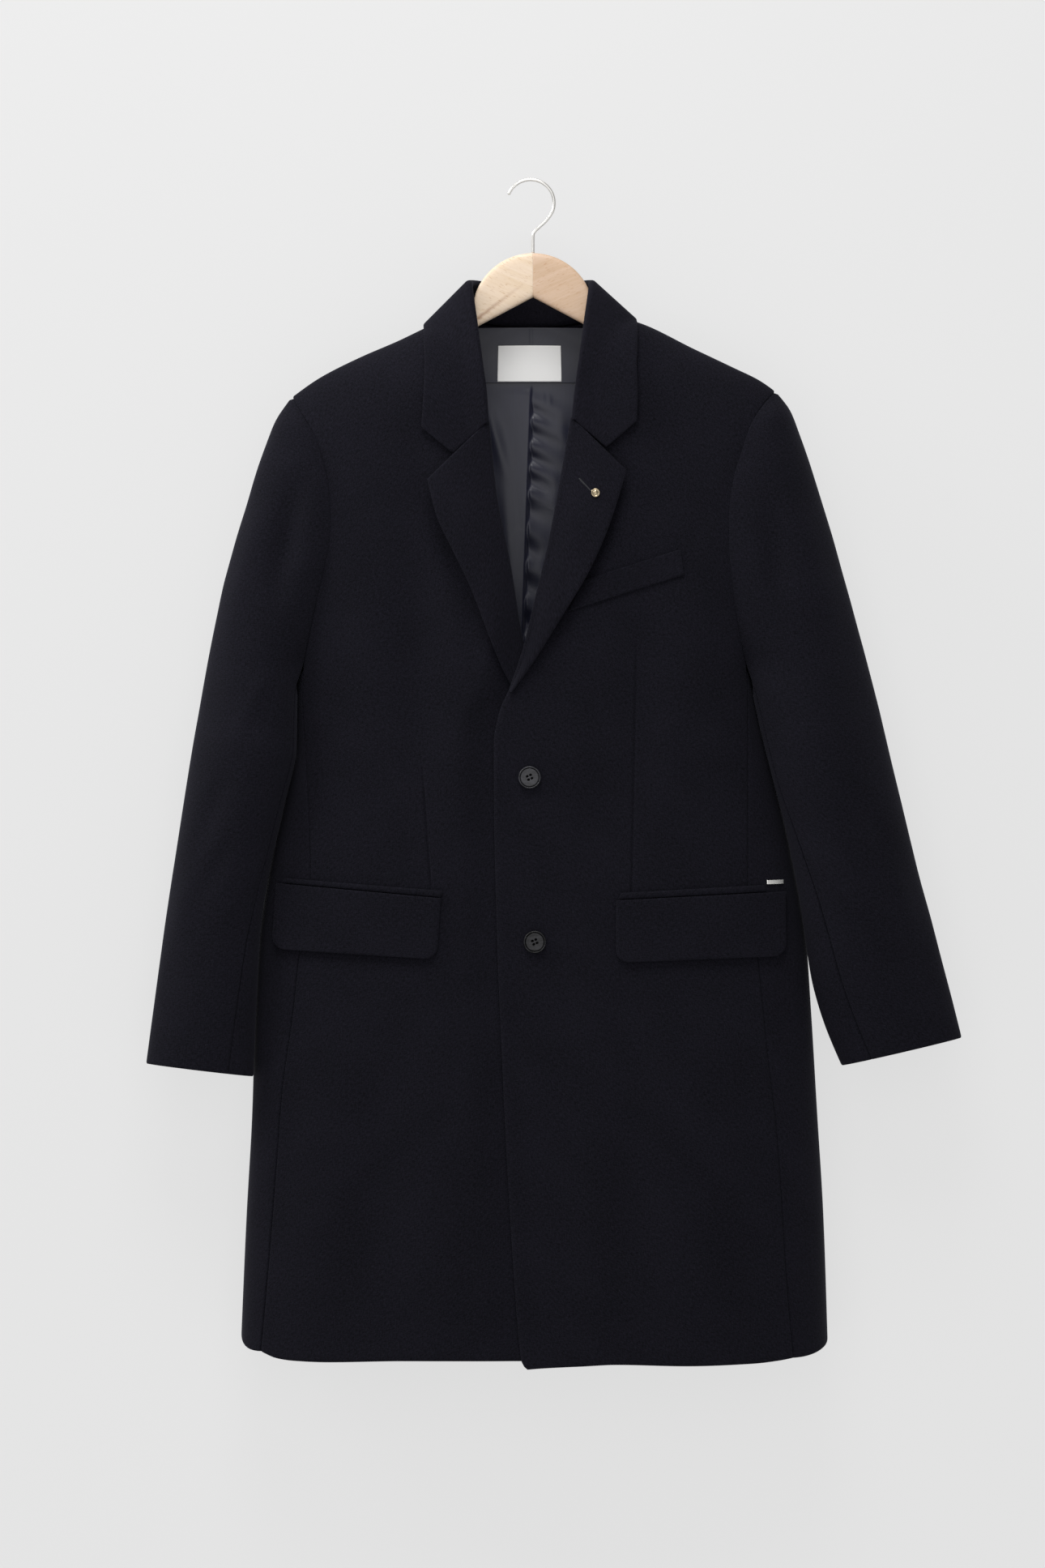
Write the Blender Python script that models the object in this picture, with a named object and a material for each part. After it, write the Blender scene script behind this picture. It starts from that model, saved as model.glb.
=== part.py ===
"""A long single-breasted wool coat hanging on a wooden hanger.

The coat hangs in the XZ plane and faces -Y. The origin is the inner top of the hook,
where a rail bears. All sizes below are millimetres. "left" is the wearer's left, at +X.
"""
import bpy
import numpy as np

for item in list(bpy.data.objects):
    bpy.data.objects.remove(item, do_unlink=True)

MM = 0.001               # metres in a millimetre
WALL = 2.0               # melton wool cloth
LINING_WALL = 1.0        # lining and label
SEAM = 0.3               # gap between pieces sewn edge to edge
LAY = 0.5                # clearance under a piece that lies on a panel
BEND_LAY = 0.9           # the same where the panel bends sharply
FLAP_WALL = 3.0          # pocket flap, two layers
TUCK = 6.4               # how far the under front lies behind the top front
TUCK_RAMP = 44.0         # width over which the under front sinks to that depth
RIDGE = 80.0             # height over which the shoulder rounds from ridge to full depth
SQUARE = 3.0             # superellipse exponent of the body's rings
ARMPIT = -471.0          # height where the front armhole meets the side panel
SCOOP = 16.0             # how much lower the armhole is under the arm
UNDERARM_GAP = 2.0       # between the two parts of the sleeve at the armpit
TIP_SHARES = (0.01, 0.1)  # shares of the armhole over which the sleeve cap grows to a full round
NECK_HALF = 78.0         # half the neck's width at the shoulder line
NECK_DROP = -141.0       # height of the neck seam at the centre back

LAPEL_LIFT = 2.5         # how proud the lapel stands along its roll line
BUTTON_RADIUS = 10.8
BUTTON_THICK = 4.2
PIN_RADIUS = 3.6
PIN_THICK = 2.4

HOOK_WIRE = 1.7          # wire radius
HOOK_INNER = 21.0        # inner radius of the hook's bow
SHANK_X = 2.3
SHANK_BOTTOM = -69.0
HANGER_HALF = 6.5        # half the hanger's thickness
DOME_RADIUS = 59.0       # rounded middle of the hanger
DOME_EDGE = 55.0         # half-width of the rounded middle
NOTCH_Z = -112.0         # underside of the hanger at its middle
NOTCH_SLOPE = 0.53       # fall of the underside along each arm
ARM_START = 74.0         # from here outwards the arm lies under the shoulder
ARM_END = 198.0
ARM_CLEAR = (5.0, 3.2)   # from the shoulder's ridge to the top of the arm, at the neck and at the end

# The body's rings: height, half-width on each side, depth in front of and behind the shoulder line,
# and how far behind that line the ring is widest.
TORSO_COLUMNS = ("height", "right", "left", "front", "back", "widest")
TORSO = (
    (-90, 246, 247, 36, 34, 0),
    (-210, 246, 247, 42, 41, 0),
    (-300, 243, 242, 47, 46, 0),
    (-380, 234, 228, 51, 50, 0),
    (-430, 227, 216, 52, 50, 0),
    (-473, 225, 212, 52, 49, 2),
    (-498, 226, 216, 52, 48, 5),
    (-527, 226.5, 222, 52, 47, 9),
    (-550, 227.5, 228.5, 52, 46, 12),
    (-590, 236.5, 239, 51, 46, 15),
    (-660, 251.5, 254, 50, 46, 15),
    (-730, 262, 266, 50, 47, 15),
    (-800, 266, 271, 51, 49, 15),
    (-900, 269, 277, 53, 52, 15),
    (-1000, 274.5, 283, 55, 54, 15),
    (-1150, 281, 288, 58, 57, 15),
)

# The shoulder line seen from the front, carried across the neck: x, z.
SHOULDER = (
    (-246, -226), (-229, -215), (-203, -196), (-165, -177), (-128, -160), (-104, -146), (-78, -132),
    (0, -96), (78, -132), (102, -145), (159, -168), (197, -186), (220, -197), (239, -208), (250, -216),
)

# Front edges, from the neck point down the neck seam and the roll line to the hem: x, z.
LEFT_FRONT_EDGE = (
    (78, -132), (69, -152), (58, -188), (47, -222), (38, -246), (31, -280), (17, -355), (4, -409),
    (-6, -451), (-18, -489), (-29, -515), (-34, -545), (-34, -590), (-31, -739), (-27, -841),
    (-22, -950), (-17, -1036), (-3, -1143),
)
RIGHT_FRONT_EDGE = (
    (-78, -132), (-69, -152), (-59, -188), (-49, -222), (-41, -246), (-34, -300), (-20, -372),
    (-7, -449), (10, -490), (27, -520), (33, -560), (33, -740), (30, -950), (26, -1133),
)

# Front armholes from the shoulder tip to the side seam, then that seam to the hem: x, z.
LEFT_ARMHOLE = (
    (235, -206), (220, -222), (211, -236), (202, -262), (194, -289), (190, -324), (190, -350),
    (193, -386), (197, -415), (203, -448), (208.5, ARMPIT),
)
LEFT_SIDE_SEAM = (
    (208.5, ARMPIT), (209.5, -498), (209, -673), (219, -752), (228, -841), (237, -918), (246, -1054),
    (253, -1132),
)
RIGHT_ARMHOLE = (
    (-228, -215), (-214, -236), (-204, -258), (-197, -289), (-192, -321), (-192, -349), (-196, -376),
    (-203, -398), (-209, -422), (-215, -448), (-219.5, ARMPIT),
)
RIGHT_SIDE_SEAM = (
    (-219.5, ARMPIT), (-220, -500), (-217, -551), (-212, -666), (-223, -746), (-229, -802), (-240, -880),
    (-246, -957), (-252, -1035), (-260, -1125),
)

# Back armholes, less scooped than the front ones: x, z.
LEFT_BACK_ARMHOLE = (
    (235, -206), (221, -240), (211, -285), (205, -335), (201, -385), (197, -430), (194, ARMPIT),
)
RIGHT_BACK_ARMHOLE = (
    (-228, -215), (-216, -245), (-209, -285), (-206, -335), (-205, -385), (-205, -430), (-206, ARMPIT),
)
BACK_SEAM_IN = (18.0, 33.0)  # side-back seam's distance in from the side, at the armhole and at the hem

# Hems of the two fronts, and the height of the hem round the side and the back.
LEFT_HEM = ((-3, -1143), (35, -1140), (82, -1138), (152, -1140), (207, -1138), (253, -1132))
RIGHT_HEM = ((26, -1133), (-9, -1135), (-121, -1135), (-199, -1136), (-240, -1132), (-260, -1125))
SIDE_HEM = -1119.0
BACK_HEM = -1128.0

# Sleeve caps, a row for each point of the armhole: outer edge x and z, front depth, back depth.
CAP_COLUMNS = ("outer_x", "outer_z", "front", "back")
LEFT_CAP = (
    (236.4, -206.8, 6, 6), (249, -226, 24, 24), (256, -245, 32, 32), (266, -270, 38, 38),
    (274, -293, 42, 42), (283, -322, 45, 44), (289, -345, 46, 45), (298, -376, 47, 46),
    (306, -402, 48, 46), (315, -433, 48, 46), (321, -457, 48, 46),
)
RIGHT_CAP = (
    (-229.5, -215.6, 6, 6), (-246, -238, 24, 24), (-254, -258, 32, 32), (-264, -286, 39, 39),
    (-272, -316, 43, 43), (-279, -343, 46, 45), (-286, -369, 47, 46), (-291, -391, 48, 46),
    (-297, -416, 48, 46), (-303, -441, 48, 46), (-308, -463, 48, 46),
)
# Sleeves below the armhole: inner and outer edge, front and back depth, y where the section is widest,
# and where the forearm seam in front and the hind-arm seam behind lie, as shares of the width from the
# inner edge.
RING_COLUMNS = (
    "inner_x", "inner_z", "outer_x", "outer_z", "front", "back", "centre", "forearm", "hindarm",
)
LEFT_RINGS = (
    (218.6, -499, 328, -484, 48, 46, -3, 0.025, 0.12),
    (224, -527, 335, -510, 47, 45, -8, 0.03, 0.15),
    (235, -576, 349, -557, 45, 43, -13, 0.03, 0.19),
    (245, -623, 362, -602, 43, 41, -15, 0.06, 0.23),
    (258.7, -692, 378, -671, 40, 39, -15, 0.14, 0.28),
    (264.5, -731, 386, -709, 38, 37, -14, 0.18, 0.30),
    (271, -771, 396, -748, 35, 35, -12, 0.21, 0.32),
    (284, -815, 407, -790, 33, 33, -9, 0.23, 0.34),
    (300, -853, 416, -826, 31, 31, -6, 0.24, 0.35),
)
RIGHT_RINGS = (
    (-228.3, -497, -313, -488, 48, 46, -3, 0.025, 0.10),
    (-227.3, -523, -318, -514, 48, 45, -8, 0.03, 0.13),
    (-227, -550, -322, -541, 47, 44, -12, 0.03, 0.16),
    (-235.3, -589, -330, -580, 45, 43, -15, 0.04, 0.20),
    (-250, -660, -341, -650, 42, 40, -15, 0.06, 0.26),
    (-257, -697, -347, -686, 40, 39, -15, 0.08, 0.28),
    (-260.5, -730, -352, -719, 38, 37, -15, 0.12, 0.30),
    (-264.5, -806, -362, -794, 34, 34, -15, 0.19, 0.33),
    (-267, -863, -371, -851, 31, 31, -14, 0.23, 0.35),
)

# Collar stations from the gorge round to the centre back: neck seam, fold and outer edge, the radius of
# the fold, and how far the end of the collar dips at the notch.
COLLAR_COLUMNS = (
    "base_x", "base_y", "base_z", "fold_x", "fold_y", "fold_z", "edge_x", "edge_y", "edge_z", "roll", "dip",
)
COLLAR_HALF = (
    (50, -44, -222, 40, -46.5, -226, 103, -46, -234, 2.7, 28),
    (53, -43, -208, 42, -45.5, -204, 103, -43, -208, 2.8, 9),
    (59, -41, -188, 45, -45, -182, 102, -36, -180, 3.2, 0),
    (69, -30, -154, 51, -32, -138, 103, -24, -158, 3.6, 0),
    (76, -2, -128, 57, -4, -97, 104, -2, -141, 4, 0),
    (64, 16, -130.5, 50, 22, -95, 94, 27, -153, 4, 0),
    (36, 29, -136.6, 28, 35, -98, 54, 42, -165, 4, 0),
    (0, 33, -139.6, 0, 39, -100, 0, 45, -169, 4, 0),
)

# Lapels: outer edges from the tip down, and the height where each ends: x, z.
LEFT_LAPEL_TOP = ((40, -230.5), (92, -283))
LEFT_LAPEL_EDGE = ((92, -283), (75, -335), (56, -378), (27, -426), (4, -463), (-18, -494))
LEFT_LAPEL_ROLL = ((40, -230.5), (31, -280), (17, -355), (4, -409), (-6, -451), (-20, -493))
RIGHT_LAPEL_TOP = ((-42.5, -233), (-99, -291))
RIGHT_LAPEL_EDGE = ((-99, -291), (-90, -325), (-76, -355), (-60, -388), (-27, -471), (-16, -492))
RIGHT_LAPEL_ROLL = ((-42.5, -233), (-34, -300), (-20, -372), (-7, -449), (-2, -466))

# Pocket flaps and the jet above each, by their upper and lower corners: inner end, outer end.
LEFT_FLAP = {"top": ((82, -693), (244, -685)), "bottom": ((82, -753), (244, -747)), "corner": 10.0}
RIGHT_FLAP = {"top": ((-86, -691), (-243, -677)), "bottom": ((-90, -750), (-247, -740)), "corner": 10.0}
LEFT_JET = {"top": ((87, -686), (224, -678.5)), "bottom": ((84, -692), (226, -684.8)), "corner": 0.0}
RIGHT_JET = {"top": ((-84, -684), (-235, -672)), "bottom": ((-86, -690), (-238, -676.5)), "corner": 0.0}
CHEST_WELT = {"top": ((60, -383), (144, -356)), "bottom": ((49, -412), (147, -381)), "corner": 0.0}
METAL_TAG = {"top": ((227, -674), (243, -673.5)), "bottom": ((227, -678), (243, -677.5)), "corner": 0.0}

BUTTONS = {"button_top": (-1, -575), "button_low": (4, -733)}
PIN_PLACE = (62, -303)

# Lining where the neck shows it: corners of the yoke, of the lining below it and of the label.
YOKE = {"top": ((-62, -143), (62, -143)), "bottom": ((-100, -193), (100, -193)), "corner": 0.0}
LINING = {"top": ((-100, -193.6), (100, -193.6)), "bottom": ((-80, -520), (80, -520)), "corner": 0.0}
LABEL = {"top": ((-32, -159), (30, -159)), "bottom": ((-32, -192.5), (30, -192.5)), "corner": 0.0}

COLOURS = {
    "wool": ((0.010, 0.010, 0.015), 0.9, 0.0),
    "satin": ((0.033, 0.036, 0.048), 0.45, 0.0),
    "cotton": ((0.80, 0.79, 0.76), 0.8, 0.0),
    "horn": ((0.020, 0.020, 0.024), 0.4, 0.0),
    "beech": ((0.66, 0.45, 0.27), 0.5, 0.0),
    "steel": ((0.62, 0.61, 0.58), 0.3, 1.0),
}


def material(name):
    """Principled material of a named finish, made once."""
    if name in bpy.data.materials:
        return bpy.data.materials[name]
    colour, roughness, metallic = COLOURS[name]
    made = bpy.data.materials.new(name)
    made.use_nodes = True
    shader = made.node_tree.nodes["Principled BSDF"]
    shader.inputs["Base Color"].default_value = (*colour, 1.0)
    shader.inputs["Roughness"].default_value = roughness
    shader.inputs["Metallic"].default_value = metallic
    return made


def add_mesh(name, points, faces, finish):
    """One named object from points in millimetres."""
    mesh = bpy.data.meshes.new(name)
    mesh.from_pydata((np.asarray(points) * MM).tolist(), [], faces)
    mesh.materials.append(material(finish))
    mesh.shade_smooth()
    mesh.set_sharp_from_angle(angle=0.7)
    made = bpy.data.objects.new(name, mesh)
    bpy.context.scene.collection.objects.link(made)
    return made


def grid_faces(rows, columns, first=0, flip=False):
    """Triangles of a grid of points numbered row by row from first."""
    r, c = np.meshgrid(np.arange(rows - 1), np.arange(columns - 1), indexing="ij")
    a = (first + r * columns + c).ravel()
    halves = np.concatenate([np.stack([a, a + 1, a + columns + 1], axis=1),
                             np.stack([a, a + columns + 1, a + columns], axis=1)])
    if flip:
        halves = halves[:, ::-1]
    return halves.tolist()


def add_wall(name, outer, inner, finish):
    """Closed wall between an outer and an inner grid of points, rimmed along the four edges."""
    rows, columns = outer.shape[:2]
    count = rows * columns
    index = np.arange(count).reshape(rows, columns)
    ring = np.concatenate([index[0, :-1], index[:-1, -1], index[-1, :0:-1], index[:0:-1, 0]])
    following = np.roll(ring, -1)
    rim = np.concatenate([np.stack([following, ring, ring + count], axis=1),
                          np.stack([following, ring + count, following + count], axis=1)]).tolist()
    faces = grid_faces(rows, columns) + grid_faces(rows, columns, count, True) + rim
    points = np.concatenate([outer.reshape(-1, 3), inner.reshape(-1, 3)])
    middle = (rows - 2) // 2, (columns - 2) // 2
    a, b, c = outer[middle], outer[middle[0], middle[1] + 1], outer[middle[0] + 1, middle[1]]
    if np.dot(np.cross(b - a, c - a), a - inner[middle]) < 0:
        faces = [face[::-1] for face in faces]
    return add_mesh(name, points, faces, finish)


def add_tube(name, rings, finish):
    """Closed solid through a row of rings, with a flat cap at each end."""
    rows, columns = rings.shape[:2]
    wrapped = np.concatenate([rings, rings[:, :1]], axis=1)
    faces = []
    for row in range(rows - 1):
        for column in range(columns):
            following = (column + 1) % columns
            faces.append([row * columns + column, row * columns + following,
                          (row + 1) * columns + following, (row + 1) * columns + column])
    faces.append(list(range(columns))[::-1])
    faces.append(list(range((rows - 1) * columns, rows * columns)))
    a, b, c = wrapped[0, 0], wrapped[0, 1], wrapped[1, 0]
    if np.dot(np.cross(b - a, c - a), a - rings[0].mean(axis=0)) < 0:
        faces = [face[::-1] for face in faces]
    return add_mesh(name, rings.reshape(-1, 3), faces, finish)


def through(knots, values, query):
    """Smooth curve through the knots that never overshoots them (monotone cubic)."""
    knots = np.asarray(knots, float)
    values = np.asarray(values, float)
    query = np.clip(query, knots[0], knots[-1])
    step = np.diff(knots)
    slope = np.diff(values) / step
    tangent = np.concatenate([[slope[0]], np.zeros(len(knots) - 2), [slope[-1]]])
    same = slope[:-1] * slope[1:] > 0
    safe = np.where(same, slope[:-1] + slope[1:], 1.0)
    tangent[1:-1] = np.where(same, 2.0 * slope[:-1] * slope[1:] / safe, 0.0)
    cell = np.clip(np.searchsorted(knots, query, side="right") - 1, 0, len(step) - 1)
    width = step[cell]
    t = (query - knots[cell]) / width
    rise = values[cell + 1] - values[cell]
    start = tangent[cell] * width
    end = tangent[cell + 1] * width
    return values[cell] + t * (start + t * (3 * rise - 2 * start - end + t * (start + end - 2 * rise)))


def lengths(points):
    """Distance along a line of points, from its start to each of them."""
    steps = np.linalg.norm(np.diff(np.asarray(points, float), axis=0), axis=1)
    return np.concatenate([[0.0], np.cumsum(steps)])


def along(points, shares):
    """Points at the given shares of the length of a smooth line through points."""
    points = np.asarray(points, float)
    chord = lengths(points)
    fine = np.linspace(0.0, chord[-1], 400)
    dense = np.stack([through(chord, points[:, k], fine) for k in range(points.shape[1])], axis=1)
    length = lengths(dense)
    wanted = np.asarray(shares) * length[-1]
    return np.stack([np.interp(wanted, length, dense[:, k]) for k in range(points.shape[1])], axis=1)


def column(name, z):
    """A column of the torso table at heights z."""
    rows = np.asarray(TORSO[::-1], float)
    return through(rows[:, 0], rows[:, TORSO_COLUMNS.index(name)], z)


def half_width(x, z):
    return np.where(np.asarray(x) >= 0, column("left", z), column("right", z))


def ridge(x):
    """Height of the shoulder line at x."""
    line = np.asarray(SHOULDER, float)
    return through(line[:, 0], line[:, 1], x)


def torso(x, z, face, out=0.0):
    """Points of the coat's outer surface at x and z, moved out along the surface's normal.

    face is "front" or "back". Depth is the ring's superellipse times a quarter round below the shoulder
    line.
    """
    x = np.asarray(x, float)
    z = np.asarray(z, float)
    small = 0.5
    sign = -1.0 if face == "front" else 1.0
    width = half_width(x, z)
    widen = (half_width(x, z + small) - half_width(x, z - small)) / (2 * small)
    deep = column(face, z) - sign * column("widest", z)
    shift = (column("widest", z + small) - column("widest", z - small)) / (2 * small)
    deepen = (column(face, z + small) - column(face, z - small)) / (2 * small) - sign * shift
    fall = (ridge(x + small) - ridge(x - small)) / (2 * small)
    below = np.clip((ridge(x) - z) / RIDGE, 0.0, 1.0)
    round_top = np.sqrt(1 - (1 - below) ** 2)
    share = np.clip(np.abs(x) / width, 0.0, 1.0)
    side = (1 - share ** SQUARE) ** (1 / SQUARE)
    steep = side ** SQUARE * (1 - below) / RIDGE
    turn = -np.sign(x) * share ** (SQUARE - 1) / width
    normal = np.stack([
        -deep * (round_top ** 2 * turn + steep * fall),
        sign * round_top * side ** (SQUARE - 1),
        -(deepen * round_top ** 2 * side ** SQUARE
          + deep * round_top ** 2 * share ** SQUARE * widen / width - deep * steep)
        - sign * shift * round_top * side ** (SQUARE - 1),
    ], axis=-1)
    normal /= np.maximum(np.linalg.norm(normal, axis=-1, keepdims=True), 1e-9)
    depth = np.maximum(deep * round_top * side, SEAM / 2)
    points = np.stack([x, column("widest", z) + sign * depth, z], axis=-1)
    return points + normal * np.asarray(out)[..., None]


def patch(left, right, top, bottom, down, across):
    """Grid of x and z filling four boundary lines (Coons patch). The sides are given row by row."""
    left, right = left[:, None], right[:, None]
    upper = along(top, across)[None]
    lower = along(bottom, across)[None]
    v = down[:, None, None]
    u = across[None, :, None]
    corners = ((1 - u) * (1 - v) * left[:1] + u * (1 - v) * right[:1]
               + (1 - u) * v * left[-1:] + u * v * right[-1:])
    return (1 - u) * left + u * right + (1 - v) * upper + v * lower - corners


def add_panel(name, area, face, finish="wool", out=0.0, thick=WALL):
    """Wall that follows the torso over an area of x and z, its inner face moved out by the given amount."""
    x, z = area[..., 0], area[..., 1]
    add_wall(name, torso(x, z, face, out + thick), torso(x, z, face, out), finish)


def tuck(x, z):
    """How far the under front lies behind the top front at x and z."""
    edge = np.asarray(LEFT_FRONT_EDGE[::-1], float)
    over = through(edge[:, 1], edge[:, 0], z)
    t = np.clip((x - over + TUCK_RAMP + 4.0) / TUCK_RAMP, 0.0, 1.0)
    return TUCK * t * t * (3 - 2 * t)


def armhole_shares():
    """Shares along an armhole of the rows that panels and sleeve cap share, denser at the shoulder."""
    return np.linspace(0.0, 1.0, 13) ** 1.8


def seam_shares():
    """Shares along a side seam of the rows that front, side and back have in common."""
    return np.linspace(0.0, 1.0, 12)


def edge_points(armhole, seam):
    """Outer edge of a panel at those rows, and each row's share of the edge's length."""
    line = np.concatenate([along(armhole, armhole_shares()), along(seam, seam_shares())[1:]])
    length = lengths(line)
    return line, length / length[-1]


def shoulder_line(x_from, x_to):
    x = np.linspace(x_from, x_to, 9)
    return np.stack([x, ridge(x)], axis=1)


def build_fronts():
    across = np.linspace(0.0, 1.0, 11) ** 1.15
    for name, edge, armhole, seam, hem in (
            ("left_front", LEFT_FRONT_EDGE, LEFT_ARMHOLE, LEFT_SIDE_SEAM, LEFT_HEM),
            ("right_front", RIGHT_FRONT_EDGE, RIGHT_ARMHOLE, RIGHT_SIDE_SEAM, RIGHT_HEM)):
        outer, down = edge_points(armhole, seam)
        shoulder = shoulder_line(edge[0][0], armhole[0][0])
        area = patch(along(edge, down), outer, shoulder, hem, down, across)
        behind = tuck(area[..., 0], area[..., 1]) if name == "right_front" else 0.0
        add_panel(name, area, "front", out=-WALL - behind)


def side_line(z, x_front, x_back, sign, count):
    """Evenly spaced points round the side at height z, from side seam to back seam: x, y from the widest."""
    width = float(half_width(sign, z))
    first = np.arccos(np.clip(abs(x_front) / width, 0, 1) ** (SQUARE / 2))
    last = -np.arccos(np.clip(abs(x_back) / width, 0, 1) ** (SQUARE / 2))
    angle = np.linspace(first, last, 200)
    x = sign * width * np.abs(np.cos(angle)) ** (2 / SQUARE)
    widest = column("widest", z)
    deep = np.where(angle > 0, -column("front", z) - widest, column("back", z) - widest)
    y = deep * np.abs(np.sin(angle)) ** (2 / SQUARE)
    length = lengths(np.stack([x, y], axis=1))
    place = np.linspace(0, length[-1], count)
    return np.interp(place, length, x), np.interp(place, length, y)


def back_seam(z, sign):
    """x of the seam between the side panel and the back."""
    share = np.clip((ARMPIT - z) / (ARMPIT - BACK_HEM), 0, 1)
    inward = BACK_SEAM_IN[0] + share * (BACK_SEAM_IN[1] - BACK_SEAM_IN[0])
    return sign * (half_width(sign * np.ones_like(z), z) - inward)


def side_grid(sign, columns, gap):
    """Side panel's grid, its rows level with those of the fronts: x, z and whether a point is in front."""
    seam = along(LEFT_SIDE_SEAM if sign > 0 else RIGHT_SIDE_SEAM, seam_shares())
    share = np.linspace(0.0, 1.0, columns)
    bow = 4 * share * (1 - share)
    x = np.empty((len(seam), columns))
    z = np.empty_like(x)
    front = np.empty(x.shape, bool)
    for row, (seam_x, height) in enumerate(seam):
        down = (ARMPIT - height) / (ARMPIT - seam[-1, 1])
        level = ARMPIT + down * (BACK_HEM - ARMPIT)
        rise = -SCOOP * (1 - down) ** 4 + (SIDE_HEM - BACK_HEM) * down ** 4
        z[row] = height + share * (level - height) + bow * rise
        x_back = float(back_seam(np.asarray(level), sign))
        x[row], y = side_line(height, seam_x + sign * gap, x_back + sign * gap, sign, columns)
        x[row] *= half_width(x[row], z[row]) / half_width(x[row], height)
        front[row] = y < 0
    return x, z, front


def on_side(x, z, front, out):
    return np.where(front[..., None], torso(x, z, "front", out), torso(x, z, "back", out))


def build_sides():
    for name, sign in (("left_side", 1), ("right_side", -1)):
        x, z, front = side_grid(sign, 11, SEAM)
        add_wall(name, on_side(x, z, front, 0.0), on_side(x, z, front, -WALL), "wool")


def build_back():
    across = np.linspace(0.0, 1.0, 19)
    edges = []
    for sign, armhole, seam in ((-1, RIGHT_BACK_ARMHOLE, RIGHT_SIDE_SEAM),
                                (1, LEFT_BACK_ARMHOLE, LEFT_SIDE_SEAM)):
        height = along(seam, seam_shares())[:, 1]
        level = ARMPIT + (ARMPIT - height) / (ARMPIT - height[-1]) * (BACK_HEM - ARMPIT)
        lower = np.stack([back_seam(level, sign), level], axis=1)
        edges.append(np.concatenate([along(armhole, armhole_shares()), lower[1:]]))
    x = np.concatenate([np.linspace(RIGHT_ARMHOLE[0][0], -NECK_HALF, 9)[:-1],
                        np.linspace(-NECK_HALF, NECK_HALF, 11)[:-1],
                        np.linspace(NECK_HALF, LEFT_ARMHOLE[0][0], 9)])
    neck = NECK_DROP + (ridge(NECK_HALF) - NECK_DROP) * (np.abs(x) / NECK_HALF) ** 2
    top = np.stack([x, np.where(np.abs(x) < NECK_HALF, neck, ridge(x))], axis=1)
    hem = np.stack([np.linspace(edges[0][-1, 0], edges[1][-1, 0], 9), np.full(9, BACK_HEM)], axis=1)
    down = edge_points(LEFT_ARMHOLE, LEFT_SIDE_SEAM)[1]
    add_panel("back", patch(edges[0], edges[1], top, hem, down, across), "back", out=-WALL)


def section(outer, inner, depth, angles, sign, centre=0.0):
    """Points and normals of half a sleeve's elliptical section, outer edge at angle 0, inner edge at pi.

    sign is -1 for the front half and 1 for the back half.
    """
    reach = (outer - inner) / 2
    half = np.linalg.norm(reach)
    cos, sin = np.cos(angles), np.sin(angles)
    flat = outer - reach * (1 - cos)[:, None]
    points = np.stack([flat[:, 0], centre + sign * depth * sin, flat[:, 1]], axis=1)
    unit = reach / half
    normals = np.stack([unit[0] * cos / half, sign * sin / depth, unit[1] * cos / half], axis=1)
    return points, normals / np.linalg.norm(normals, axis=1, keepdims=True)


def cap_half(outer, seam_point, depth, columns, share):
    """Section from the armhole over to the outer edge: a parabola at the tip, an ellipse lower down."""
    sign = np.sign(seam_point[1])
    seam_depth = abs(seam_point[1])
    seam_flat = np.array([seam_point[0], seam_point[2]])
    w = np.linspace(1.0, 0.0, columns)[:, None]
    reach = outer - seam_flat
    flat = outer - reach * w ** 2
    low = np.concatenate([flat[:, :1], sign * seam_depth * w, flat[:, 1:]], axis=1)
    unit = reach / np.linalg.norm(reach)
    tilt = 2 * np.linalg.norm(reach) * w
    level = np.ones_like(w) * seam_depth
    low_normal = np.concatenate([level * unit[0], sign * tilt, level * unit[1]], axis=1)
    low_normal /= np.linalg.norm(low_normal, axis=1, keepdims=True)
    depth = max(depth, 1.06 * seam_depth)
    start = np.pi - np.arcsin(seam_depth / depth)
    inner = outer - reach * 2 / (1 - np.cos(start))
    full, full_normal = section(outer, inner, depth, np.linspace(start, 0.0, columns), sign)
    normal = low_normal * (1 - share) + full_normal * share
    return low * (1 - share) + full * share, normal / np.linalg.norm(normal, axis=1, keepdims=True)


def row_normals(grid):
    normal = np.cross(np.gradient(grid, axis=0), np.gradient(grid, axis=1))
    return normal / np.linalg.norm(normal, axis=2, keepdims=True)


def rows_at(knots, table, query):
    """Rows of a table at the wanted places between its knots."""
    rows = np.asarray(table, float)
    return np.stack([through(knots, rows[:, k], query) for k in range(rows.shape[1])], axis=1)


def chord_shares(points):
    return lengths(points) / lengths(points)[-1]


def join_halves(front, back):
    """One row of points and normals from a front half and a back half that meet."""
    return [np.concatenate([front[k], back[k][1:]]) for k in (0, 1)]


def cap_row(row, place, flats, half):
    """Row of the sleeve cap from the front armhole over the outer edge to the back armhole."""
    given = dict(zip(CAP_COLUMNS, row))
    outer = np.array([given["outer_x"], given["outer_z"]])
    fullness = np.clip((place - TIP_SHARES[0]) / (TIP_SHARES[1] - TIP_SHARES[0]), 0, 1)
    halves = []
    for flat, face in zip(flats, ("front", "back")):
        moved = flat + SEAM * (outer - flat) / np.linalg.norm(outer - flat)
        seam_point = torso(moved[0], moved[1], face)
        points, normals = cap_half(outer, seam_point, given[face], half, fullness)
        panel_normal = torso(moved[0], moved[1], face, 1.0) - seam_point
        share = np.clip(1 - np.arange(half) / 3, 0, 1)[:, None] * (1 - fullness)
        normals = normals * (1 - share) + panel_normal * share
        halves.append((points, normals / np.linalg.norm(normals, axis=1, keepdims=True)))
    return join_halves(halves[0], (halves[1][0][::-1], halves[1][1][::-1]))


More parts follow.
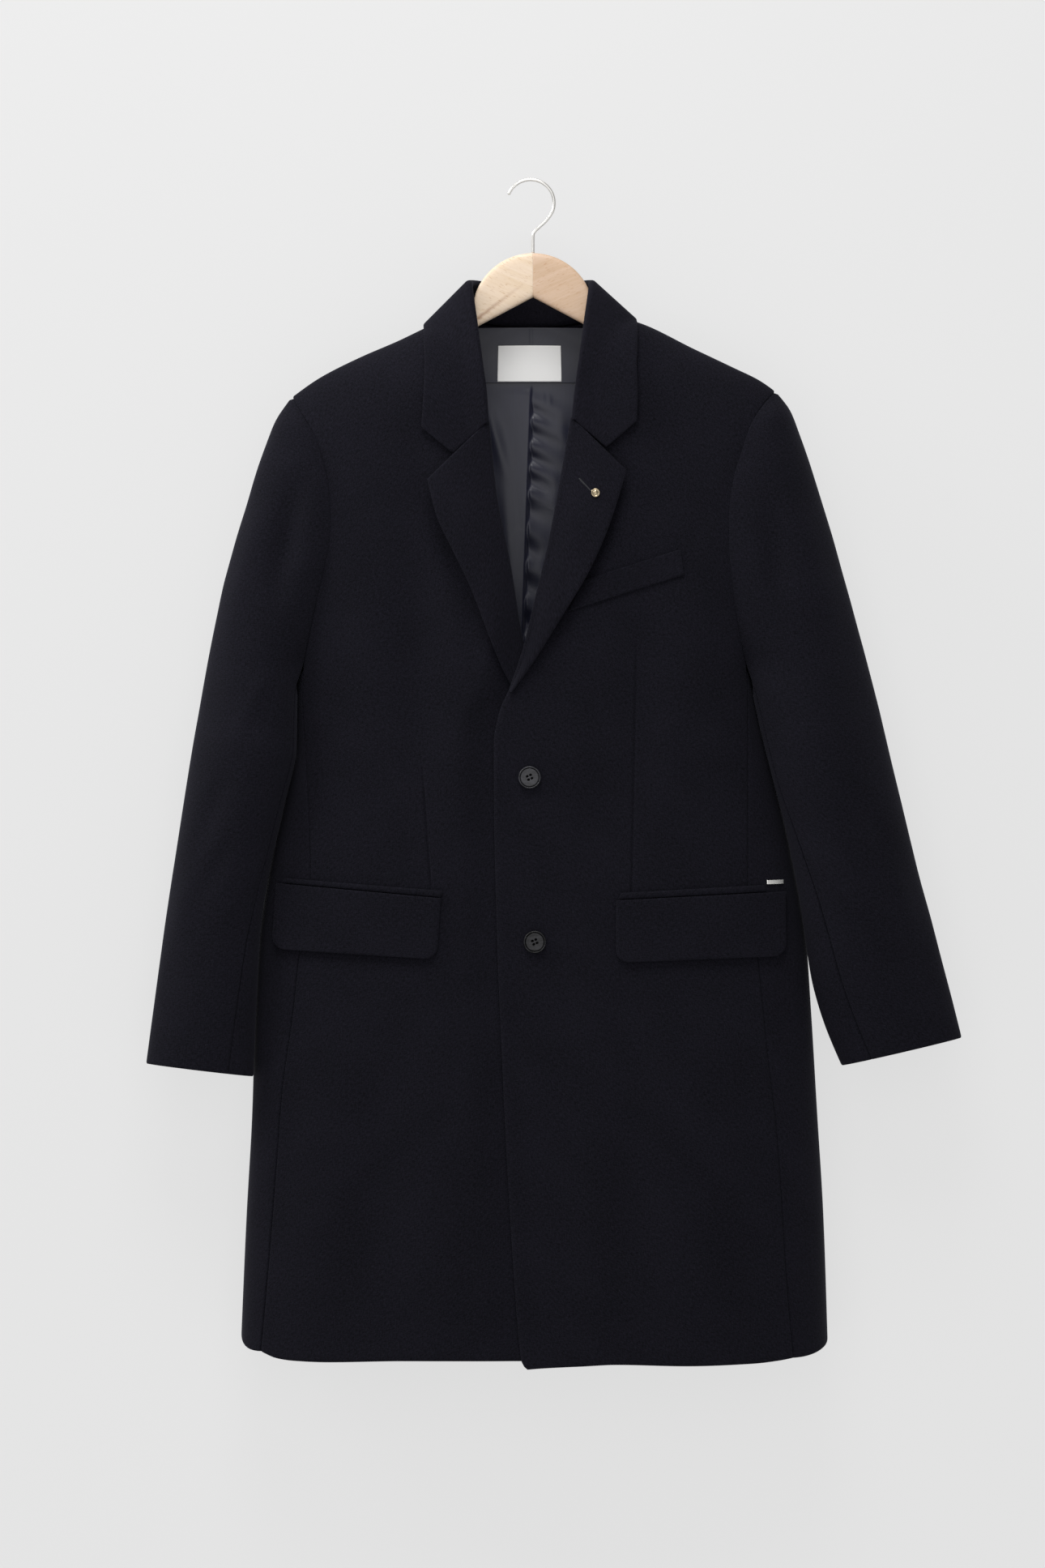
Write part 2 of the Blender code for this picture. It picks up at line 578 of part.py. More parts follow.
def build_sleeve(name, sign, cap, rings, armhole, back_armhole):
    half = 8
    shares = np.clip(armhole_shares(), 0.006, 0.985)
    cap_rows = rows_at(chord_shares(armhole), cap, shares)
    seams = zip(along(armhole, shares), along(back_armhole, shares))
    top = [cap_row(*given, half) for given in zip(cap_rows, shares, seams)]
    under = []
    for row in rows_at(np.linspace(0, 1, len(rings)), rings, np.linspace(0, 1, 14)):
        ring = dict(zip(RING_COLUMNS, row))
        inner = np.array([ring["inner_x"], ring["inner_z"]])
        outer = np.array([ring["outer_x"], ring["outer_z"]])
        gap = 4 * SEAM / np.linalg.norm(outer - inner)
        first, last = np.arccos(2 * ring["forearm"] - 1), np.arccos(2 * ring["hindarm"] - 1)
        ahead = (outer, inner, ring["front"])
        behind = (outer, inner, ring["back"])
        centre = ring["centre"]
        top.append(join_halves(section(*ahead, np.linspace(first, 0, half), -1, centre),
                               section(*behind, np.linspace(0, last, half), 1, centre)))
        under.append(join_halves(section(*ahead, np.linspace(first + gap, np.pi, 5), -1, centre),
                                 section(*behind, np.linspace(np.pi, last + gap, 5), 1, centre)))
    x, z, front = side_grid(sign, 9, UNDERARM_GAP)
    under.insert(0, (on_side(x[:1], z[:1], front[:1], SEAM)[0], under[0][1]))
    for piece, made in ((name + "_top_sleeve", top), (name + "_under_sleeve", under)):
        points = np.array([row[0] for row in made])
        normals = np.array([row[1] for row in made])
        add_wall(piece, points, points - WALL * normals, "wool")


def collar_rows(count):
    """Collar stations from the right gorge round the back to the left gorge."""
    half = np.asarray(COLLAR_HALF, float)
    mirrored = half.copy()
    for name in ("base_x", "fold_x", "edge_x"):
        mirrored[:, COLLAR_COLUMNS.index(name)] *= -1
    rows = np.concatenate([mirrored, half[-2::-1]])
    length = lengths(rows[:, 6:9])
    query = np.linspace(0, length[-1], count)
    return np.stack([through(length, rows[:, k], query) for k in range(rows.shape[1])], axis=1)


def clear_of_torso(points, out):
    """Points moved out in y where they are nearer to the torso than the given distance."""
    x, y, z = points[..., 0], points[..., 1], points[..., 2]
    ahead = torso(x, z, "front", 0.0)[..., 1] - out
    behind = torso(x, z, "back", 0.0)[..., 1] + out
    on_body = z < ridge(x)
    y = np.where(on_body & (y < 0), np.minimum(y, ahead), y)
    y = np.where(on_body & (y >= 0), np.maximum(y, behind), y)
    return np.stack([x, y, z], axis=-1)


def build_collar():
    """Stand, fold and fall in one cloth: up the neck side, round the fold and down to the outer edge."""
    rows = collar_rows(35)
    heading = np.gradient(rows[:, 3:6], axis=0)
    grid = []
    for row, ahead in zip(rows, heading):
        base, fold, edge, roll, dip = row[0:3], row[3:6], row[6:9], row[9], row[10]
        up = fold - (base + edge) / 2
        up -= ahead * np.dot(up, ahead) / np.dot(ahead, ahead)
        up /= np.linalg.norm(up)
        outward = np.cross(up, ahead)
        outward /= np.linalg.norm(outward)
        turn = np.linspace(0, np.pi, 5)[:, None]
        arc = fold - up * roll - outward * roll * np.cos(turn) + up * roll * np.sin(turn)
        stand = base + (arc[0] - base) * np.linspace(0, 1, 3)[:-1, None]
        share = np.linspace(0, 1, 5)[1:, None]
        fall = arc[-1] + (edge - arc[-1]) * share
        fall[:, 2] -= dip * (1 - np.abs(2 * share[:, 0] - 1))
        grid.append(np.concatenate([clear_of_torso(stand, LAY), arc, clear_of_torso(fall, WALL + 2 * LAY)]))
    grid = np.array(grid)
    normal = row_normals(grid)
    middle = len(grid) // 2
    if normal[middle, -1, 1] < 0:
        normal = -normal
    add_wall("collar", grid, grid - WALL * normal, "wool")


def build_lapels():
    down = np.linspace(0, 1, 17)
    across = np.linspace(0, 1, 6)
    for name, roll, edge, top in (("left_lapel", LEFT_LAPEL_ROLL, LEFT_LAPEL_EDGE, LEFT_LAPEL_TOP),
                                  ("right_lapel", RIGHT_LAPEL_ROLL, RIGHT_LAPEL_EDGE, RIGHT_LAPEL_TOP)):
        area = patch(along(roll, down), along(edge, down), top, (roll[-1], edge[-1]), down, across)
        lift = LAY + LAPEL_LIFT * (1 - across[None]) * (1 - down[:, None])
        if name == "right_lapel":
            lift = lift + BEND_LAY - tuck(area[..., 0], area[..., 1])
        add_panel(name, area, "front", out=lift)


def strip(piece, rows, columns):
    """Grid over a four-cornered piece, its two lower corners rounded."""
    (ax, az), (bx, bz) = piece["top"]
    (cx, cz), (dx, dz) = piece["bottom"]
    corner = piece["corner"]
    height = np.hypot(cx - ax, cz - az)
    width = np.hypot(bx - ax, bz - az)
    v = np.linspace(0, 1, rows)
    if corner:
        turn = np.linspace(0, np.pi / 2, rows - 2)[1:]
        v = np.concatenate([[0, 0.4, 1 - corner / height], 1 - corner * (1 - np.sin(turn)) / height])
    past = np.clip(v * height - (height - corner), 0, corner)
    inset = (corner - np.sqrt(corner ** 2 - past ** 2)) / width
    u = inset[:, None] + np.linspace(0, 1, columns)[None] * (1 - 2 * inset[:, None])
    v = v[:, None]
    x = (1 - v) * (ax + u * (bx - ax)) + v * (cx + u * (dx - cx))
    z = (1 - v) * (az + u * (bz - az)) + v * (cz + u * (dz - cz))
    return np.stack([x, z], axis=-1)


def build_pockets():
    for name, piece in (("left_flap", LEFT_FLAP), ("right_flap", RIGHT_FLAP)):
        area = strip(piece, 8, 13)
        lift = LAY + BEND_LAY * np.linspace(0, 1, 13)[None] ** 2
        add_panel(name, area, "front", out=lift, thick=FLAP_WALL)
    for name, piece in (("left_jet", LEFT_JET), ("right_jet", RIGHT_JET)):
        add_panel(name, strip(piece, 2, 13), "front", out=LAY + 0.3 * np.linspace(0, 1, 13)[None])
    add_panel("chest_welt", strip(CHEST_WELT, 4, 7), "front", out=LAY)
    add_panel("metal_tag", strip(METAL_TAG, 2, 3), "front", "steel", out=LAY, thick=1.0)


def add_turned(name, place, out, profile, finish, sides=16):
    """Round piece on the front, turned from a profile of radius and height about the surface's normal."""
    foot = torso(place[0], place[1], "front", out)
    normal = torso(place[0], place[1], "front", out + 1.0) - foot
    across = np.cross(normal, (0, 0, 1))
    across /= np.linalg.norm(across)
    upward = np.cross(across, normal)
    angle = np.linspace(0, 2 * np.pi, sides, endpoint=False)[:, None]
    spoke = across * np.cos(angle) + upward * np.sin(angle)
    rings = np.array([foot + normal * height + spoke * radius for radius, height in profile])
    add_tube(name, rings, finish)


def build_buttons():
    r, t = BUTTON_RADIUS, BUTTON_THICK
    profile = ((0.62 * r, 0.0), (0.95 * r, 0.35 * t), (r, 0.65 * t), (0.95 * r, 0.95 * t), (0.86 * r, t),
               (0.74 * r, 0.82 * t), (0.60 * r, 0.70 * t), (0.20 * r, 0.66 * t))
    for name, place in BUTTONS.items():
        add_turned(name, place, LAY, profile, "horn")
    r, t = PIN_RADIUS, PIN_THICK
    profile = ((0.7 * r, 0.0), (r, 0.3 * t), (r, 0.6 * t), (0.7 * r, 0.9 * t), (0.3 * r, t))
    add_turned("lapel_pin", PIN_PLACE, 2 * LAY + WALL + LAPEL_LIFT * 0.4, profile, "steel", 12)


def build_lining():
    inside = -WALL - BEND_LAY - LINING_WALL
    for name, piece, depth, rows, columns, finish in (
            ("lining_yoke", YOKE, inside - BEND_LAY, 6, 13, "satin"),
            ("lining_back", LINING, inside, 10, 13, "satin"),
            ("neck_label", LABEL, inside - BEND_LAY - LAY - LINING_WALL, 4, 6, "cotton")):
        add_panel(name, strip(piece, rows, columns), "back", finish, out=depth, thick=LINING_WALL)


def hanger_top(x):
    """Upper edge of the hanger: a dome in the middle, then an arm just under the shoulder line."""
    out = np.abs(x - SHANK_X)
    middle = SHANK_BOTTOM - LAY - DOME_RADIUS
    dome = middle + np.sqrt(np.maximum(DOME_RADIUS ** 2 - out ** 2, 0))
    arm = ridge(x) - np.interp(out, (ARM_START, ARM_END), ARM_CLEAR)
    t = np.clip((out - DOME_EDGE) / (ARM_START - DOME_EDGE), 0, 1)
    knee = middle + np.sqrt(DOME_RADIUS ** 2 - DOME_EDGE ** 2)
    slope = knee + (ridge(np.sign(x) * ARM_START) - ARM_CLEAR[0] - knee) * np.sqrt(t)
    return np.where(t <= 0, dome, np.where(t >= 1, arm, slope))


def build_hanger():
    angle = np.linspace(0, 2 * np.pi, 12, endpoint=False) + np.pi / 12
    for name, sign in (("left_hanger_arm", 1), ("right_hanger_arm", -1)):
        out = np.concatenate([np.linspace(SEAM / 2, DOME_EDGE, 10),
                              np.linspace(DOME_EDGE, ARM_END, 13)[1:]])
        x = SHANK_X + sign * out
        top = hanger_top(x)
        bottom = NOTCH_Z - NOTCH_SLOPE * out
        end = np.sqrt(np.clip((ARM_END - out) / 14.0, 0.02, 1.0))
        middle, high = (top + bottom) / 2, (top - bottom) / 2 * end
        power = np.interp(out, (DOME_EDGE, ARM_START), (5.0, 2.0))
        thick = HANGER_HALF * end
        rings = []
        for k in range(len(x)):
            cos, sin = np.cos(angle), np.sin(angle)
            y = thick[k] * np.sign(cos) * np.abs(cos) ** (2 / power[k])
            z = middle[k] + high[k] * np.sign(sin) * np.abs(sin) ** (2 / power[k])
            rings.append(np.stack([np.full_like(y, x[k]), y, z], axis=1))
        add_tube(name, np.array(rings), "beech")


def build_hook():
    """Wire bow over the rail, then a straight shank down to the hanger."""
    bow = HOOK_INNER + HOOK_WIRE
    turn = np.radians(np.linspace(160, -62, 19))
    path = np.stack([bow * np.cos(turn), bow * np.sin(turn) - HOOK_INNER], axis=1)
    shank = np.array([(SHANK_X + 2.4, -44.5), (SHANK_X, -49.0), (SHANK_X, -56.0), (SHANK_X, SHANK_BOTTOM)])
    path = np.concatenate([path, shank])
    tangent = np.gradient(path, axis=0)
    tangent /= np.linalg.norm(tangent, axis=1, keepdims=True)
    tangent[-1] = (0, -1)
    angle = np.linspace(0, 2 * np.pi, 10, endpoint=False)
    rings = []
    for (x, z), (dx, dz) in zip(path, tangent):
        side = np.cos(angle) * HOOK_WIRE
        rings.append(np.stack([x - dz * side, np.sin(angle) * HOOK_WIRE, z + dx * side], axis=1))
    add_tube("hook", np.array(rings), "steel")


build_fronts()
build_sides()
build_back()
build_sleeve("left", 1, LEFT_CAP, LEFT_RINGS, LEFT_ARMHOLE, LEFT_BACK_ARMHOLE)
build_sleeve("right", -1, RIGHT_CAP, RIGHT_RINGS, RIGHT_ARMHOLE, RIGHT_BACK_ARMHOLE)
build_collar()
build_lapels()
build_pockets()
build_buttons()
build_lining()
build_hanger()
build_hook()
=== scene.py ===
import bpy
import numpy as np
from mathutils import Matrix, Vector


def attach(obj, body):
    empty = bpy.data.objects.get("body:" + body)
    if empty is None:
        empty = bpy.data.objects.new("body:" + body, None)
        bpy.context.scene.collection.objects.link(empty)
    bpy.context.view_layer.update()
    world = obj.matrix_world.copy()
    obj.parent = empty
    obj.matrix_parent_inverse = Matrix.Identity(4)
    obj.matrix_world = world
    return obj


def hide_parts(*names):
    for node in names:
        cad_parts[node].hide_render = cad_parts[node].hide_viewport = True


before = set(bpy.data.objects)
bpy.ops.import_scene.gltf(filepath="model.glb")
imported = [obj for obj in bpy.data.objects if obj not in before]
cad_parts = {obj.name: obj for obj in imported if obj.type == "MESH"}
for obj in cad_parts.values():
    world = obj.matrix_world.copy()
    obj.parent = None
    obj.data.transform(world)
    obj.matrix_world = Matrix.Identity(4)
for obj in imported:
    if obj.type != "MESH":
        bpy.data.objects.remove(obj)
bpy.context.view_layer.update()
print("frame loaded with", len(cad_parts), "nodes")

# All lengths below are millimetres, in the frame's own axes: x to the wearer's left, -y in front, z up.
metre = 1000.0
sides = (("left", 1), ("right", -1))    # the wearer's, with the sign of x there
lineSteps = 400     # points on a smooth line before its length is shared out

cloth = {
    "wool": 2.0,        # thickness of the melton
    "lining": 1.0,
    "sewn": -0.3,       # sewn edges overlap a little, so that no light comes through
    "lay": 0.5,         # air under what lies on a panel
    "step": 5.0,        # spacing of points on a panel
    "close": (0.0, 0.25, 0.7, 1.4, 2.4, 3.8),   # extra points beside an edge
    "beside": (0.4, 0.9, 1.6, 2.5, 4.0),        # the same on both sides of a seam inside a panel
    "seamRound": 2.0,   # how wide a sewn edge rolls over
    "freeRound": 3.0,   # the same on an edge that hangs free
    "edgeShare": 0.08,  # share of the thickness left at an edge
    "groove": 1.1,      # depth and half-width of the line that a seam draws
    "grooveWidth": 0.8,
    "turned": 1.0,      # cloth turned in along each edge of a cut
    "narrowest": 10.5,  # a narrower strip is cut this wide and turned in further
}
panelRounds = (cloth["seamRound"],) * 3 + (cloth["freeRound"],)     # sewn at both sides and on top, free at the hem

# rough lengths and widths of the panels, which space their points
spans = {"front": 290.0, "back": 450.0, "side": (660.0, 95.0), "topSleeve": 130.0, "underSleeve": 60.0, "fall": 56.0,
         "lapel": (260.0, 75.0)}

body = {
    # height, half-width on the wearer's right and left, depth in front and behind, y where the ring is widest
    "columns": ("height", "right", "left", "front", "back", "widest"),
    "rings": (
        (-90, 246, 247, 36, 34, 0), (-210, 246, 247, 42, 41, 0), (-300, 243, 242, 47, 46, 0),
        (-380, 234, 228, 51, 50, 0), (-430, 227, 216, 52, 50, 0), (-473, 225, 212, 52, 49, 2),
        (-498, 226, 216, 52, 48, 5), (-527, 226.5, 222, 52, 47, 9), (-550, 227.5, 228.5, 52, 46, 12),
        (-590, 236.5, 239, 51, 46, 15), (-660, 251.5, 254, 50, 46, 15), (-730, 262, 266, 50, 47, 15),
        (-800, 266, 271, 51, 49, 15), (-900, 269, 277, 53, 52, 15), (-1000, 274.5, 283, 55, 54, 15),
        (-1150, 281, 288, 58, 57, 15),
    ),
    # the shoulder line seen from the front, carried across the neck
    "shoulder": (
        (-246, -221), (-229, -207.4), (-203, -189.3), (-165, -170), (-128, -154), (-104, -142.5), (-78, -130.5),
        (0, -96), (78, -130), (102, -135.5), (159, -162.3), (197, -180.3), (220, -191.5), (239, -205), (250, -215),
    ),
    "shoulderLap": (0.7, 3.0),  # front and back cross a little in the shoulder seam, down to this depth
    "leastDepth": 0.15,
    "ridge": 80.0,      # height over which the shoulder rounds to full depth
    "square": 3.0,      # superellipse exponent of the rings
    "armpit": -471.0,
    "scoop": 16.0,      # how much lower the armhole is under the arm
    "scoopFade": 4,     # power with which the scoop fades downwards and the hem's rise upwards
    "neckHalf": 78.0,
    "neckDrop": -141.0,
    "hemRise": {"left": 11.5, "right": 15.0},   # how far the hem of each side rises between its seams
    "hemPeak": 1.2,     # over 1 the rise is highest behind the side's middle, so its corner looks round in front
    "backHem": -1128.0,
    "backSeamIn": (18.0, 33.0),     # how far inside the outline the back's seam lies, at the armpit and at the hem
    "frontLap": 3.5,    # how far front and back run on under the sleeve
    "backLap": 4.0,
    "tuck": (9.5, 3.9), # how far the under front lies behind the top front, at the lapels and lower down
    "tuckHeights": (-505.0, -600.0),
    "tuckRamp": (32.0, 4.0),        # width of the step, and how far short of the top front's edge it ends
}


# Smooth curve through knots that never overshoots (monotone cubic): harmonic mean slopes, Hermite between.
def through(knots, values, query):
    knots, values = np.asarray(knots, float), np.asarray(values, float)
    query = np.clip(query, knots[0], knots[-1])
    spread = (...,) + (None,) * (values.ndim - 1)
    step = np.diff(knots)
    slope = np.diff(values, axis=0) / step[spread]
    product = slope[:-1] * slope[1:]
    mean = np.where(product > 0, 2 * product / np.where(product > 0, slope[:-1] + slope[1:], 1.0), 0.0)
    tangent = np.concatenate([slope[:1], mean, slope[-1:]])
    cell = np.clip(np.searchsorted(knots, query, side="right") - 1, 0, len(step) - 1)
    width = step[cell][spread]
    t = ((query - knots[cell]) / step[cell])[spread]
    rise = values[cell + 1] - values[cell]
    start, end = tangent[cell] * width, tangent[cell + 1] * width
    return values[cell] + t * (start + t * (3 * rise - 2 * start - end + t * (start + end - 2 * rise)))


# Running length of a line of points.
def lengths(points):
    steps = np.linalg.norm(np.diff(np.asarray(points, float), axis=0), axis=-1)
    return np.concatenate([[0.0], np.cumsum(steps)])


# Points at shares of the length of a straight-sided line.
def onLine(points, shares):
    points = np.asarray(points, float)
    run = lengths(points)
    wanted = np.asarray(shares) * run[-1]
    return np.stack([np.interp(wanted, run, points[:, k]) for k in range(points.shape[1])], axis=-1)


# Points at shares of the length of a smooth line, or that many points along it.
def along(points, shares):
    run = lengths(points)
    shares = np.linspace(0, 1, shares) if isinstance(shares, int) else shares
    return onLine(through(run, points, np.linspace(0.0, run[-1], lineSteps)), shares)


# x at height z on a line of points that runs downwards.
def xAt(line, z):
    line = np.asarray(line[::-1], float)
    return through(line[:, 1], line[:, 0], z)


# Shares of a length: even steps, and closer ones beside each end where the edge rolls over.
def spaced(length, step=cloth["step"], first=True, last=True):
    close = np.array([gap for gap in cloth["close"] if gap < 0.4 * length]) / length
    low, high = (close[-1] if first else 0.0), (1 - close[-1] if last else 1.0)
    even = np.linspace(low, high, max(3, int(round((high - low) * length / step)) + 1))
    head = close[:-1] if first else close[:0]
    tail = 1 - close[-2::-1] if last else close[:0]
    return np.concatenate([head, even, tail])


# Shares across a panel with extra ones beside a seam inside it, so that its groove is drawn.
def besideSeam(width, share):
    extra = np.array([0.0, *cloth["beside"]]) / width
    return np.unique(np.concatenate([spaced(width), share - extra, share + extra]))


# Bell curve: e to the power of minus t squared.
def bell(t):
    return np.exp(-t ** 2)


# Smooth step from 0 to 1: three t squared less two t cubed.
def eased(t):
    t = np.clip(t, 0, 1)
    return t * t * (3 - 2 * t)


# Vectors divided by their lengths.
def unit(vectors):
    return vectors / np.maximum(np.linalg.norm(vectors, axis=-1, keepdims=True), 1e-9)


# Slope of a curve from two points close by.
def slopeOf(curve, at, small=0.5):
    return (curve(at + small) - curve(at - small)) / (2 * small)


# One column of the body's rings as a smooth curve of height.
def ring(column, z):
    rows = np.asarray(body["rings"][::-1], float)
    return through(rows[:, 0], rows[:, body["columns"].index(column)], z)


# Half the body's width at height z, on the side where x lies.
def halfWidth(x, z):
    return np.where(np.asarray(x) >= 0, ring("left", z), ring("right", z))


# Height of the shoulder line at x.
def ridgeLine(x):
    line = np.asarray(body["shoulder"], float)
    return through(line[:, 0], line[:, 1], x)


# The coat's outer surface at x and z, moved out along its normal. Depth is the ring's superellipse times a
# quarter round below the shoulder line, and the normal is that formula's gradient.
def torso(x, z, face, out=0.0):
    x, z = np.asarray(x, float), np.asarray(z, float)
    power, sign = body["square"], -1.0 if face == "front" else 1.0
    width, widest = halfWidth(x, z), ring("widest", z)
    deep = ring(face, z) - sign * widest
    widen = slopeOf(lambda height: halfWidth(x, height), z)
    shift = slopeOf(lambda height: ring("widest", height), z)
    deepen = slopeOf(lambda height: ring(face, height), z) - sign * shift
    below = np.clip((ridgeLine(x) - z) / body["ridge"], 0.0, 1.0)
    roundTop = np.sqrt(1 - (1 - below) ** 2)
    share = np.clip(np.abs(x) / width, 0.0, 1.0)
    side = (1 - share ** power) ** (1 / power)
    steep = side ** power * (1 - below) / body["ridge"]
    turn = -np.sign(x) * share ** (power - 1) / width
    normal = unit(np.stack([
        -deep * (roundTop ** 2 * turn + steep * slopeOf(ridgeLine, x)),
        sign * roundTop * side ** (power - 1),
        -(deepen * roundTop ** 2 * side ** power
          + deep * roundTop ** 2 * share ** power * widen / width - deep * steep)
        - sign * shift * roundTop * side ** (power - 1),
    ], axis=-1))
    lap, lapDepth = body["shoulderLap"]
    depth = np.maximum(deep * roundTop * side, body["leastDepth"]) - lap * np.exp(-deep * roundTop / lapDepth)
    return np.stack([x, widest + sign * depth, z], axis=-1) + normal * np.asarray(out)[..., None]


# Soft troughs and ridges: each row is a line from one point to another with a width and a height; across the
# line the height is a bell curve, along it a squared sine.
def creases(a, b, rows):
    total = np.zeros(np.broadcast(a, b).shape)
    for a0, b0, a1, b1, width, height in rows:
        run = np.hypot(a1 - a0, b1 - b0)
        share = ((a - a0) * (a1 - a0) + (b - b0) * (b1 - b0)) / run ** 2
        off = ((a - a0) * (b1 - b0) - (b - b0) * (a1 - a0)) / run
        total += height * bell(off / width) * np.sin(np.pi * np.clip(share, 0, 1)) ** 2
    return total


drapes = {
    # x, z at both ends, width, height: long soft drapes, drag lines at the armholes, slack below the pockets
    "front": (
        (-122, -236, -26, -500, 14, -5.0), (112, -236, -8, -505, 14, -5.0),
        (-112, -205, -104, -680, 24, -6.0), (-168, -215, -156, -640, 30, 3.2), (-60, -470, -66, -690, 26, 1.2),
        (-214, -356, -190, -412, 7, -1.8), (-188, -300, -128, -430, 13, -1.0), (-190, -430, -150, -640, 22, -1.6),
        (-192, -770, -206, -1150, 28, 2.4), (-140, -760, -152, -1150, 26, -2.4), (-72, -770, -80, -1160, 34, 1.9),
        (-16, -600, -14, -1140, 20, -1.0), (-234, -800, -244, -1130, 16, -1.6),
        (112, -300, 100, -700, 20, -3.2), (166, -260, 158, -660, 28, 2.6), (62, -500, 66, -700, 24, -1.5),
        (184, -300, 126, -396, 12, -1.0), (190, -410, 150, -600, 20, -1.4), (26, -600, 34, -1160, 22, -1.3),
        (152, -770, 168, -1160, 30, 2.2), (206, -770, 220, -1140, 20, -2.2), (92, -770, 106, -1170, 26, -1.7),
        (60, -780, 66, -1170, 30, 1.8), (244, -820, 250, -1130, 14, 1.2),
    ),
    "back": (
        (-122, -230, -110, -930, 38, 2.6), (112, -240, 126, -980, 34, 2.4), (-60, -430, -74, -1160, 26, -2.8),
        (64, -400, 80, -1150, 30, -2.5), (-182, -560, -198, -1160, 28, 2.0), (186, -580, 204, -1170, 26, 2.2),
        (148, -290, 192, -400, 11, -1.3), (-146, -300, -194, -410, 12, -1.2), (-70, -196, 66, -204, 9, -0.9),
        (-30, -640, -24, -1170, 22, 1.6), (24, -700, 30, -1160, 20, 1.5), (-150, -700, -156, -1150, 18, -1.6),
        (152, -640, 164, -1150, 20, -1.8),
    ),
    "fade": 60.0,       # height below the shoulder line over which they begin
    "sideFade": 8,      # power of the share across with which they end at the sides
    # height of a faint unevenness everywhere, and its waves' lengths over two pi, along x and z and the other way
    "ripple": (0.25, 31.0, 57.0, 140.0, 83.0),
}


# How far the drape moves the body's surface out at x and z; it fades at the sides and at the shoulder line.
def drape(x, z, face):
    x, z = np.asarray(x, float), np.asarray(z, float)
    share = np.clip(np.abs(x) / halfWidth(x, z), 0, 1)
    fade = (1 - share ** drapes["sideFade"]) * np.clip((ridgeLine(x) - z) / drapes["fade"], 0, 1)
    height, wide, tall, wider, taller = drapes["ripple"]
    ripple = height * np.sin(x / wide + z / tall) * np.sin(z / taller - x / wider + 1.3)
    return fade * (creases(x, z, drapes[face]) + ripple)


# The coat's outer surface with its drape.
def draped(x, z, face, out=0.0):
    return torso(x, z, face, np.asarray(out) + drape(x, z, face))


# Surface for a wall over an area of x and z: the area moved out from the body by a given height.
def over(area, face, surface=draped):
    return lambda out: surface(area[..., 0], area[..., 1], face, out)


# Grid of x and z filling four boundary lines (Coons patch), the two sides given row by row.
def patch(left, right, top, bottom, down, across):
    left, right = left[:, None], right[:, None]
    v, u = down[:, None, None], across[None, :, None]
    corners = ((1 - u) * (1 - v) * left[:1] + u * (1 - v) * right[:1]
               + (1 - u) * v * left[-1:] + u * v * right[-1:])
    return (1 - u) * left + u * right + (1 - v) * top[None] + v * bottom[None] - corners


# Distance of each grid point from the first and the last column, and from the first and the last row.
def edgeDistances(grid):
    found = []
    for axis in (1, 0):
        steps = np.linalg.norm(np.diff(grid, axis=axis), axis=-1)
        pad = np.zeros_like(np.take(steps, [0], axis=axis))
        run = np.cumsum(np.concatenate([pad, steps], axis=axis), axis=axis)
        found += [run, np.take(run, [-1], axis=axis) - run]
    return found


# Share of the cloth's thickness left near the edges: a quarter round over the width given for each of the
# first column, last column, first row and last row.
def rolled(grid, rounds):
    share = np.ones(grid.shape[:2])
    for away, width in zip(edgeDistances(grid), rounds):
        if width:
            share = share * np.sqrt(1 - (1 - np.clip(away / width, 0.0, 1.0)) ** 2)
    return np.maximum(share, cloth["edgeShare"])


# How far a sewn edge sinks: a narrow bell curve along each edge that is rolled as a seam.
def sunk(grid, rounds):
    depth = np.zeros(grid.shape[:2])
    for away, width in zip(edgeDistances(grid), rounds):
        if width == cloth["seamRound"]:
            depth = np.maximum(depth, cloth["groove"] * bell(away / cloth["grooveWidth"]))
    return depth


# Unit normals of a grid: cross product of its two directions.
def gridNormals(grid):
    return unit(np.cross(np.gradient(grid, axis=0), np.gradient(grid, axis=1)))


# Four-sided faces of a grid of points, counted row by row.
def quadsOf(rows, columns, first=0):
    r, c = np.meshgrid(np.arange(rows - 1), np.arange(columns - 1), indexing="ij")
    a = (first + r * columns + c).ravel()
    return np.stack([a, a + 1, a + columns + 1, a + columns], axis=1)


# Faces of a grid that closes on itself: its last column stands on its first.
def ringQuads(rows, columns):
    wrap = np.arange(rows * columns).reshape(rows, columns)
    wrap[:, -1] = wrap[:, 0]
    return wrap.ravel()[quadsOf(rows, columns)]


# One piece from points, four-sided faces and a flat place in millimetres for each point. The sign of the volume
# inside tells whether the faces point outwards. The piece rides with the part and stands for its node.
def addPiece(name, node, points, quads, flat, finish):
    material, slot = finish
    points = points.reshape(-1, 3)
    a, b, c, d = (points[quads[:, k]] - points.mean(axis=0) for k in range(4))
    if (np.cross(a, b) * c + np.cross(a, c) * d).sum() < 0:
        quads = quads[:, ::-1]
    mesh = bpy.data.meshes.new(name)
    mesh.vertices.add(len(points))
    mesh.vertices.foreach_set("co", (points / metre).astype(np.float32).ravel())
    mesh.loops.add(quads.size)
    mesh.loops.foreach_set("vertex_index", quads.astype(np.int32).ravel())
    mesh.polygons.add(len(quads))
    mesh.polygons.foreach_set("loop_start", np.arange(0, quads.size, 4, dtype=np.int32))
    mesh.update(calc_edges=True)
    mesh.validate()
    flatMap = mesh.uv_layers.new(name="flat")
    flatMap.data.foreach_set("uv", (flat.reshape(-1, 2)[quads.ravel()] / metre).astype(np.float32).ravel())
    mesh.shade_smooth()
    mesh.materials.append(material)
    piece = bpy.data.objects.new(name, mesh)
    bpy.context.scene.collection.objects.link(piece)
    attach(piece, "root")
    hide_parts(node)
    return piece


